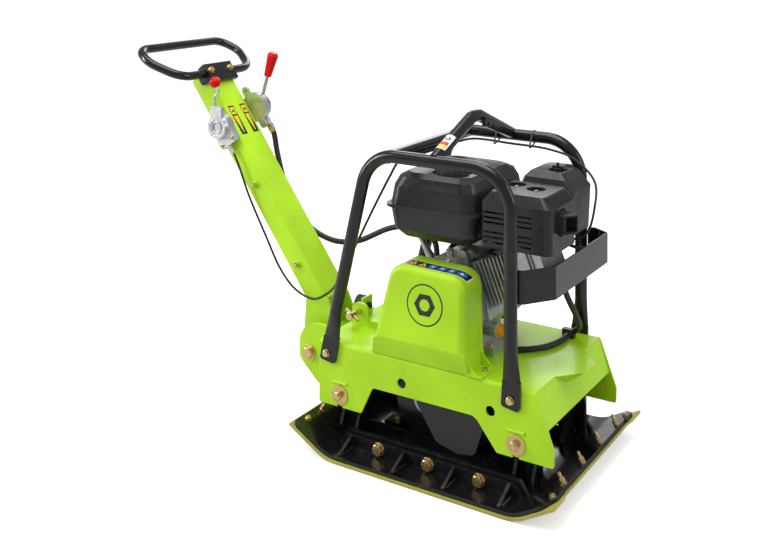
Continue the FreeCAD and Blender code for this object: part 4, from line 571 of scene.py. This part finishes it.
def hydraulic_hose():
    """Hose from the direction control down to the phase cylinder, with a crimped ferrule at its upper end."""
    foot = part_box("phase_cylinder")
    end = Vector(((foot[0].x + foot[1].x) / 2, 147 * MM, foot[1].z))
    start = mm(-704, 77, 732)
    path = [start, mm(-689, 76, 711), bar_point(0.535, 98 * MM, 69 * MM),
            bar_point(0.45, 76 * MM, 61 * MM), bar_point(0.36, 68 * MM, 60 * MM),
            bar_point(0.29, 82 * MM, 61 * MM), mm(-468, 65, 428), mm(-425, 75, 426), mm(-382, 84, 436),
            mm(-290, 104, 480), mm(-205, 112, 490), mm(-158, 112, 462), mm(-150, 112, 380),
            mm(-150, 112, 260), mm(-120, 124, 214), mm(-66, 146, 200), end]
    builder = bmesh.new()
    add_tube(builder, smooth_path(path, 6 * MM), 8 * MM, 18)
    hose = new_piece("hydraulic_hose_skin", builder, HOSE_RUBBER, None)
    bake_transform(hose)
    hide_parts("hydraulic_hose")
    builder = bmesh.new()
    direction = path[1] - path[0]
    ridges = [(-6, 0.1), (-6, 8.5), (-2, 8.5), (-2, 11), (9, 11), (9, 9.6), (12, 9.6), (12, 10.6),
              (24, 10.6), (25, 8.2)]
    add_turned(builder, start, direction, [(d * MM, r * MM) for d, r in ridges], 6)
    new_piece("hose_fitting", builder, ZINC, "drawbar_arm", smooth=False)


def throttle_cable():
    """Bowden cable down the drawbar, up the cage, along the crossbar and over to the carburettor."""
    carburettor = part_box("carburettor")
    path = [mm(-724, -63, 669), mm(-704, -64, 634), mm(-670, -64, 560), mm(-610, -63, 455),
            mm(-552, -63, 362), mm(-500, -65, 318), mm(-440, -67, 303), mm(-366, -90, 342),
            mm(-285, -150, 420), mm(-232, -168, 500), mm(-175, -171, 605), mm(-122, -170, 700),
            mm(-108, -160, 730), mm(-105, -130, 734), mm(-105, 0, 733), mm(-105, 140, 733),
            mm(-75, 180, 739), mm(40, 184, 737), mm(150, 184, 733), mm(222, 180, 716),
            mm(286, 160, 668), mm(300, 122, 612), mm(291, 96, 555), mm(262, 96, 536)]
    path.append(Vector((carburettor[1].x + 1 * MM, 99 * MM, 528 * MM)))
    builder = bmesh.new()
    add_tube(builder, smooth_path(path, 5 * MM), 3.2 * MM, 12)
    cable = new_piece("throttle_cable_skin", builder, HOSE_RUBBER, None)
    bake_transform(cable)
    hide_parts("throttle_cable")


def drain_hose():
    """Drain hose from under the rocker cover down to its clip and back over the deck."""
    path = [mm(249, 20, 456), mm(256, 24, 438), mm(263, 44, 398), mm(267, 84, 346), mm(257, 128, 304),
            mm(233, 150, 279), mm(221, 138, 271.5), mm(221, 112, 270.5), mm(216, 76, 270.5),
            mm(200, 34, 270.5), mm(172, 0, 270.5), mm(140, -24, 270.5)]
    builder = bmesh.new()
    add_tube(builder, smooth_path(path, 4 * MM), 7.6 * MM, 18)
    hose = new_piece("drain_hose_skin", builder, HOSE_RUBBER, "upper_mass")
    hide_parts("drain_hose")


CRANK_CENTRE = Vector((3 * MM, 0, 400 * MM))
EXCITER_CENTRE = Vector((62 * MM, 0, 125 * MM))
CRANK_GROOVE_R = 52 * MM
EXCITER_GROOVE_R = 36 * MM
BELT_Y = -166 * MM


def belt_outline(margin):
    """Points once round the belt in its plane, at a margin outside the groove floors of both pulleys."""
    upper, lower = CRANK_GROOVE_R + margin, EXCITER_GROOVE_R + margin
    run = EXCITER_CENTRE - CRANK_CENTRE
    heading = math.atan2(run.z, run.x)
    spread = math.acos((upper - lower) / run.length)
    arc_steps, run_steps = 32, 24
    arcs = []
    for centre, radius, first, last in ((CRANK_CENTRE, upper, spread, 2 * math.pi - spread),
                                        (EXCITER_CENTRE, lower, -spread, spread)):
        arc = []
        for step in range(arc_steps + 1):
            angle = heading + first + (last - first) * step / arc_steps
            arc.append(centre + Vector((math.cos(angle), 0, math.sin(angle))) * radius)
        arcs.append(arc)
    above, below = arcs
    down = [above[-1].lerp(below[0], step / run_steps) for step in range(1, run_steps)]
    back = [below[-1].lerp(above[0], step / run_steps) for step in range(1, run_steps)]
    return above + down + below + back


def v_belt():
    """V-belt round the crankshaft and exciter pulleys, fixed in place on no body."""
    inner, outer = belt_outline(0.4 * MM), belt_outline(7 * MM)
    builder = bmesh.new()
    rings = []
    for near, far in zip(inner, outer):
        ring = []
        for point, half in ((near, -4.6 * MM), (far, -6.3 * MM), (far, 6.3 * MM), (near, 4.6 * MM)):
            ring.append(builder.verts.new(point + Vector((0, BELT_Y + half, 0))))
        rings.append(ring)
    for before, after in zip(rings, rings[1:] + rings[:1]):
        for corner in range(4):
            following = (corner + 1) % 4
            builder.faces.new((before[corner], before[following], after[following], after[corner]))
    belt = new_piece("v_belt_skin", builder, RUBBER, None)
    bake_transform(belt)
    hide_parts("v_belt")


def strap(name, rounds, first, second, width, thickness, material, body, sides=36):
    """Flat band pulled tight round circles that lie in the plane of first and second."""
    origin = rounds[0][0]
    points = []
    for centre, radius in rounds:
        offset = centre - origin
        for corner in range(sides):
            angle = 2 * math.pi * corner / sides
            points.append(Vector((offset.dot(first) + radius * math.cos(angle),
                                  offset.dot(second) + radius * math.sin(angle))))
    hull = [points[index] for index in convex_hull_2d(points)]
    middle = sum(hull, Vector((0, 0))) / len(hull)
    side = first.cross(second).normalized() * width / 2
    builder = bmesh.new()
    rings = []
    for point in hull:
        outer = point + (point - middle).normalized() * thickness
        inside = origin + first * point.x + second * point.y
        outside = origin + first * outer.x + second * outer.y
        spots = (inside - side, outside - side, outside + side, inside + side)
        rings.append([builder.verts.new(spot) for spot in spots])
    for before, after in zip(rings, rings[1:] + rings[:1]):
        for corner in range(4):
            following = (corner + 1) % 4
            builder.faces.new((before[corner], before[following], after[following], after[corner]))
    return new_piece(name, builder, material, body)


STRAP_THICKNESS = 1.2 * MM
HOOP_TUBE_R = 16 * MM


def cable_clips():
    """Steel straps that hold the cable to the drawbar, and black ties that hold it to the cage."""
    for index, along in enumerate((0.470, 0.215)):
        centre = bar_point(along, 68 * MM, -BAR_HALF - 9 * MM)
        strap(f"cable_clip_{index + 1}", [(centre, 6.5 * MM)], BAR_OUT, BAR_UP, 5 * MM, STRAP_THICKNESS,
              ZINC, "drawbar_arm")
    far_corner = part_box("cage_hoops")[1]
    for index, x in enumerate((-10 * MM, 95 * MM)):
        tube = Vector((x, far_corner.y - HOOP_TUBE_R, far_corner.z - HOOP_TUBE_R))
        cable = Vector((x, 184 * MM, 734 * MM))
        rounds = [(tube, HOOP_TUBE_R + 0.2 * MM), (cable, 3.4 * MM)]
        strap(f"cable_tie_{index + 1}", rounds, Vector((0, 1, 0)), Vector((0, 0, 1)), 4.5 * MM,
              STRAP_THICKNESS, DARK_PLASTIC, "upper_mass")


def starter_rope():
    """Short straight length of starter rope inside the housing, fixed in place on no body."""
    path = [mm(-78 - 0.4 * step, 161, 430) for step in range(61)]
    builder = bmesh.new()
    add_tube(builder, path, 1.9 * MM, 10)
    rope = new_piece("starter_rope", builder, FILM_WHITE, None)
    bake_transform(rope)


def engine_fittings():
    """Cast bosses and stays between the crankcase and the tank, each with its screw."""
    bosses = (
        ("tank_stay_rear", mm(-66, -52, 462), mm(-58, 2, 84), 11, 7),
        ("governor_boss", mm(30, -62, 470), mm(-8, -2, 52), 13, 8),
        ("breather_boss", mm(-12, -58, 474), mm(-3, 0, 30), 10, 8),
        ("lead_boss", mm(78, -60, 452), mm(4, -4, 44), 9, 6),
    )
    for name, base, axis, foot, tip in bosses:
        length = axis.length / MM
        profile = [(0, foot + 5), (0.16 * length, foot), (0.55 * length, tip), (0.86 * length, tip),
                   (0.87 * length, tip + 2.5), (length, tip + 2.5)]
        builder = bmesh.new()
        add_turned(builder, base, axis, [(d * MM, r * MM) for d, r in profile], 20)
        new_piece(name, builder, CAST_ALUMINIUM, "upper_mass")
        builder = bmesh.new()
        screw = [(length - 1, 5), (length + 3.4, 5), (length + 4, 4.3)]
        add_turned(builder, base, axis, [(d * MM, r * MM) for d, r in screw], 6)
        new_piece(name + "_screw", builder, ZINC, "upper_mass", smooth=False)
    lead = [mm(112, -40, 500), mm(104, -58, 512), mm(82, -68, 505), mm(60, -66, 492), mm(48, -50, 486)]
    builder = bmesh.new()
    add_tube(builder, smooth_path(lead), 3 * MM, 12)
    new_piece("governor_link_hose", builder, HOSE_RUBBER, "upper_mass")


RIB_X = (-212, -58, 80, 224)     # ribs of the extension plates, in millimetres
POST_X = (-255, 236)             # isolator posts, in millimetres
BEAD_STEP = 1.2 * MM
RIPPLE = 1900                    # radians per metre of the ripple along a bead


def weld_beads():
    """Welds along the feet of the ribs on the extension plates and of the isolator posts."""
    seams = []
    for x in RIB_X:
        for side in (-1, 1):
            for offset in (-5, 5):
                seams.append((mm(x + offset, side * 206, 16.4), mm(x + offset, side * 258, 16.4)))
    for x in POST_X:
        for side in (-1, 1):
            seams.append((mm(x - 16, side * 141, 16.6), mm(x + 34, side * 141, 16.6)))
    for index, (start, end) in enumerate(seams):
        length = (end - start).length
        count = int(length / BEAD_STEP)
        builder = bmesh.new()
        path = [start.lerp(end, step / count) for step in range(count + 1)]
        add_tube(builder, path, lambda travelled: (2.4 + 0.5 * math.sin(travelled * RIPPLE)) * MM, 8)
        new_piece(f"weld_bead_{index + 1}", builder, BLACK, "sole_plate")


# ---------------------------------------------------------------- studio

PHOTO_STATION = Vector((1.2742, -2.3776, 1.2903))
PHOTO_AZIMUTH = math.radians(32.338)
PHOTO_LENS = 48.357
PHOTO_SHIFT = -0.43434


def area_light(name, place, target, size, power, colour=(1, 1, 1)):
    data = bpy.data.lights.new(name, "AREA")
    data.shape = "RECTANGLE"
    data.size, data.size_y = size
    data.energy = power
    data.color = colour
    lamp = bpy.data.objects.new(name, data)
    bpy.context.scene.collection.objects.link(lamp)
    lamp.location = place
    lamp.rotation_euler = (Vector(target) - Vector(place)).to_track_quat("-Z", "Y").to_euler()


WORLD_FILL = 0.84                # soft light from all round
WORLD_MIRRORED = 0.34            # what glossy surfaces see of it, so that blacks stay deep
WORLD_SEEN = 1.02                # what the camera sees above the floor's edge


def studio():
    scene = bpy.context.scene
    scene.view_settings.view_transform = "Standard"
    world = bpy.data.worlds.new("studio")
    world.use_nodes = True
    tree = world.node_tree
    background = next(node for node in tree.nodes if node.type == "BACKGROUND")
    background.inputs["Color"].default_value = (1.0, 1.0, 1.0, 1.0)
    path = tree.nodes.new("ShaderNodeLightPath")
    strength = WORLD_FILL
    for kind, level in (("Is Glossy Ray", WORLD_MIRRORED), ("Is Camera Ray", WORLD_SEEN)):
        choice = tree.nodes.new("ShaderNodeMix")
        tree.links.new(path.outputs[kind], choice.inputs["Factor"])
        if isinstance(strength, float):
            choice.inputs["A"].default_value = strength
        else:
            tree.links.new(strength, choice.inputs["A"])
        choice.inputs["B"].default_value = level
        strength = choice.outputs["Result"]
    tree.links.new(strength, background.inputs["Strength"])
    scene.world = world
    area_light("overhead", (-0.3, -0.3, 3.2), (0, 0, 0.3), (2.6, 2.2), 62)
    area_light("near_left", (-2.9, -2.2, 2.2), (-0.1, 0, 0.45), (1.6, 1.8), 32)
    area_light("right_rim", (3.0, 0.8, 1.9), (0, 0, 0.5), (1.0, 2.0), 20)
    area_light("low_streak", (-2.6, -1.5, 1.3), (0, -0.2, 0.05), (0.5, 1.6), 26)
    area_light("back_rim", (-1.4, 2.8, 2.2), (0, 0, 0.5), (1.6, 1.4), 22)


def floor():
    builder = bmesh.new()
    bmesh.ops.create_grid(builder, x_segments=60, y_segments=60, size=40)
    mesh = bpy.data.meshes.new("floor")
    builder.to_mesh(mesh)
    builder.free()
    ground = bpy.data.objects.new("floor", mesh)
    bpy.context.scene.collection.objects.link(ground)
    s = Shader("pale_floor")
    seen = s.add("ShaderNodeLightPath").outputs["Is Camera Ray"]
    pale = s.mix(s.noise(3, 4), (0.80, 0.80, 0.80), (0.82, 0.82, 0.82))
    tone = s.mix(seen, (0.45, 0.45, 0.45), pale)
    s.set(Emission_Color=(1.0, 1.0, 1.0, 1.0), Specular_IOR_Level=0.1)
    s.link(s.ramp(seen, 0.0, 1.0, 0.0, 0.42), s.surface.inputs["Emission Strength"])
    rough = s.ramp(s.noise(40, 3), 0.2, 0.8, 0.75, 0.85)
    mesh.materials.append(s.finish(tone, rough, s.bump(s.noise(200), 0.02, MM)))


def camera():
    """Level camera with a downward lens shift, which keeps the uprights upright. The shift belongs
    to this station only: it fades to none as soon as the camera is moved round the object."""
    data = bpy.data.cameras.new("camera")
    data.lens = PHOTO_LENS
    data.sensor_width = 36.0
    data.clip_start = 0.02
    eye = bpy.data.objects.new("camera", data)
    bpy.context.scene.collection.objects.link(eye)
    eye.location = PHOTO_STATION
    forward = Vector((-math.sin(PHOTO_AZIMUTH), math.cos(PHOTO_AZIMUTH), 0))
    eye.rotation_euler = forward.to_track_quat("-Z", "Y").to_euler()
    bpy.context.scene.camera = eye
    station = bpy.data.objects.new("photo_station", None)
    station.location = PHOTO_STATION
    bpy.context.scene.collection.objects.link(station)
    curve = data.driver_add("shift_y")
    curve.driver.type = "SUM"
    distance = curve.driver.variables.new()
    distance.type = "LOC_DIFF"
    distance.targets[0].id = eye
    distance.targets[1].id = station
    while curve.modifiers:
        curve.modifiers.remove(curve.modifiers[0])
    curve.keyframe_points.clear()
    for moved, shift in ((0.0, PHOTO_SHIFT), (50 * MM, 0.0)):
        curve.keyframe_points.insert(moved, shift).interpolation = "LINEAR"
    curve.extrapolation = "CONSTANT"


dress_frame()
cover_emblem()
cover_strip()
lever_signs()
bow_sign()
hydraulic_hose()
throttle_cable()
drain_hose()
v_belt()
cable_clips()
starter_rope()
engine_fittings()
weld_beads()
floor()
studio()
camera()
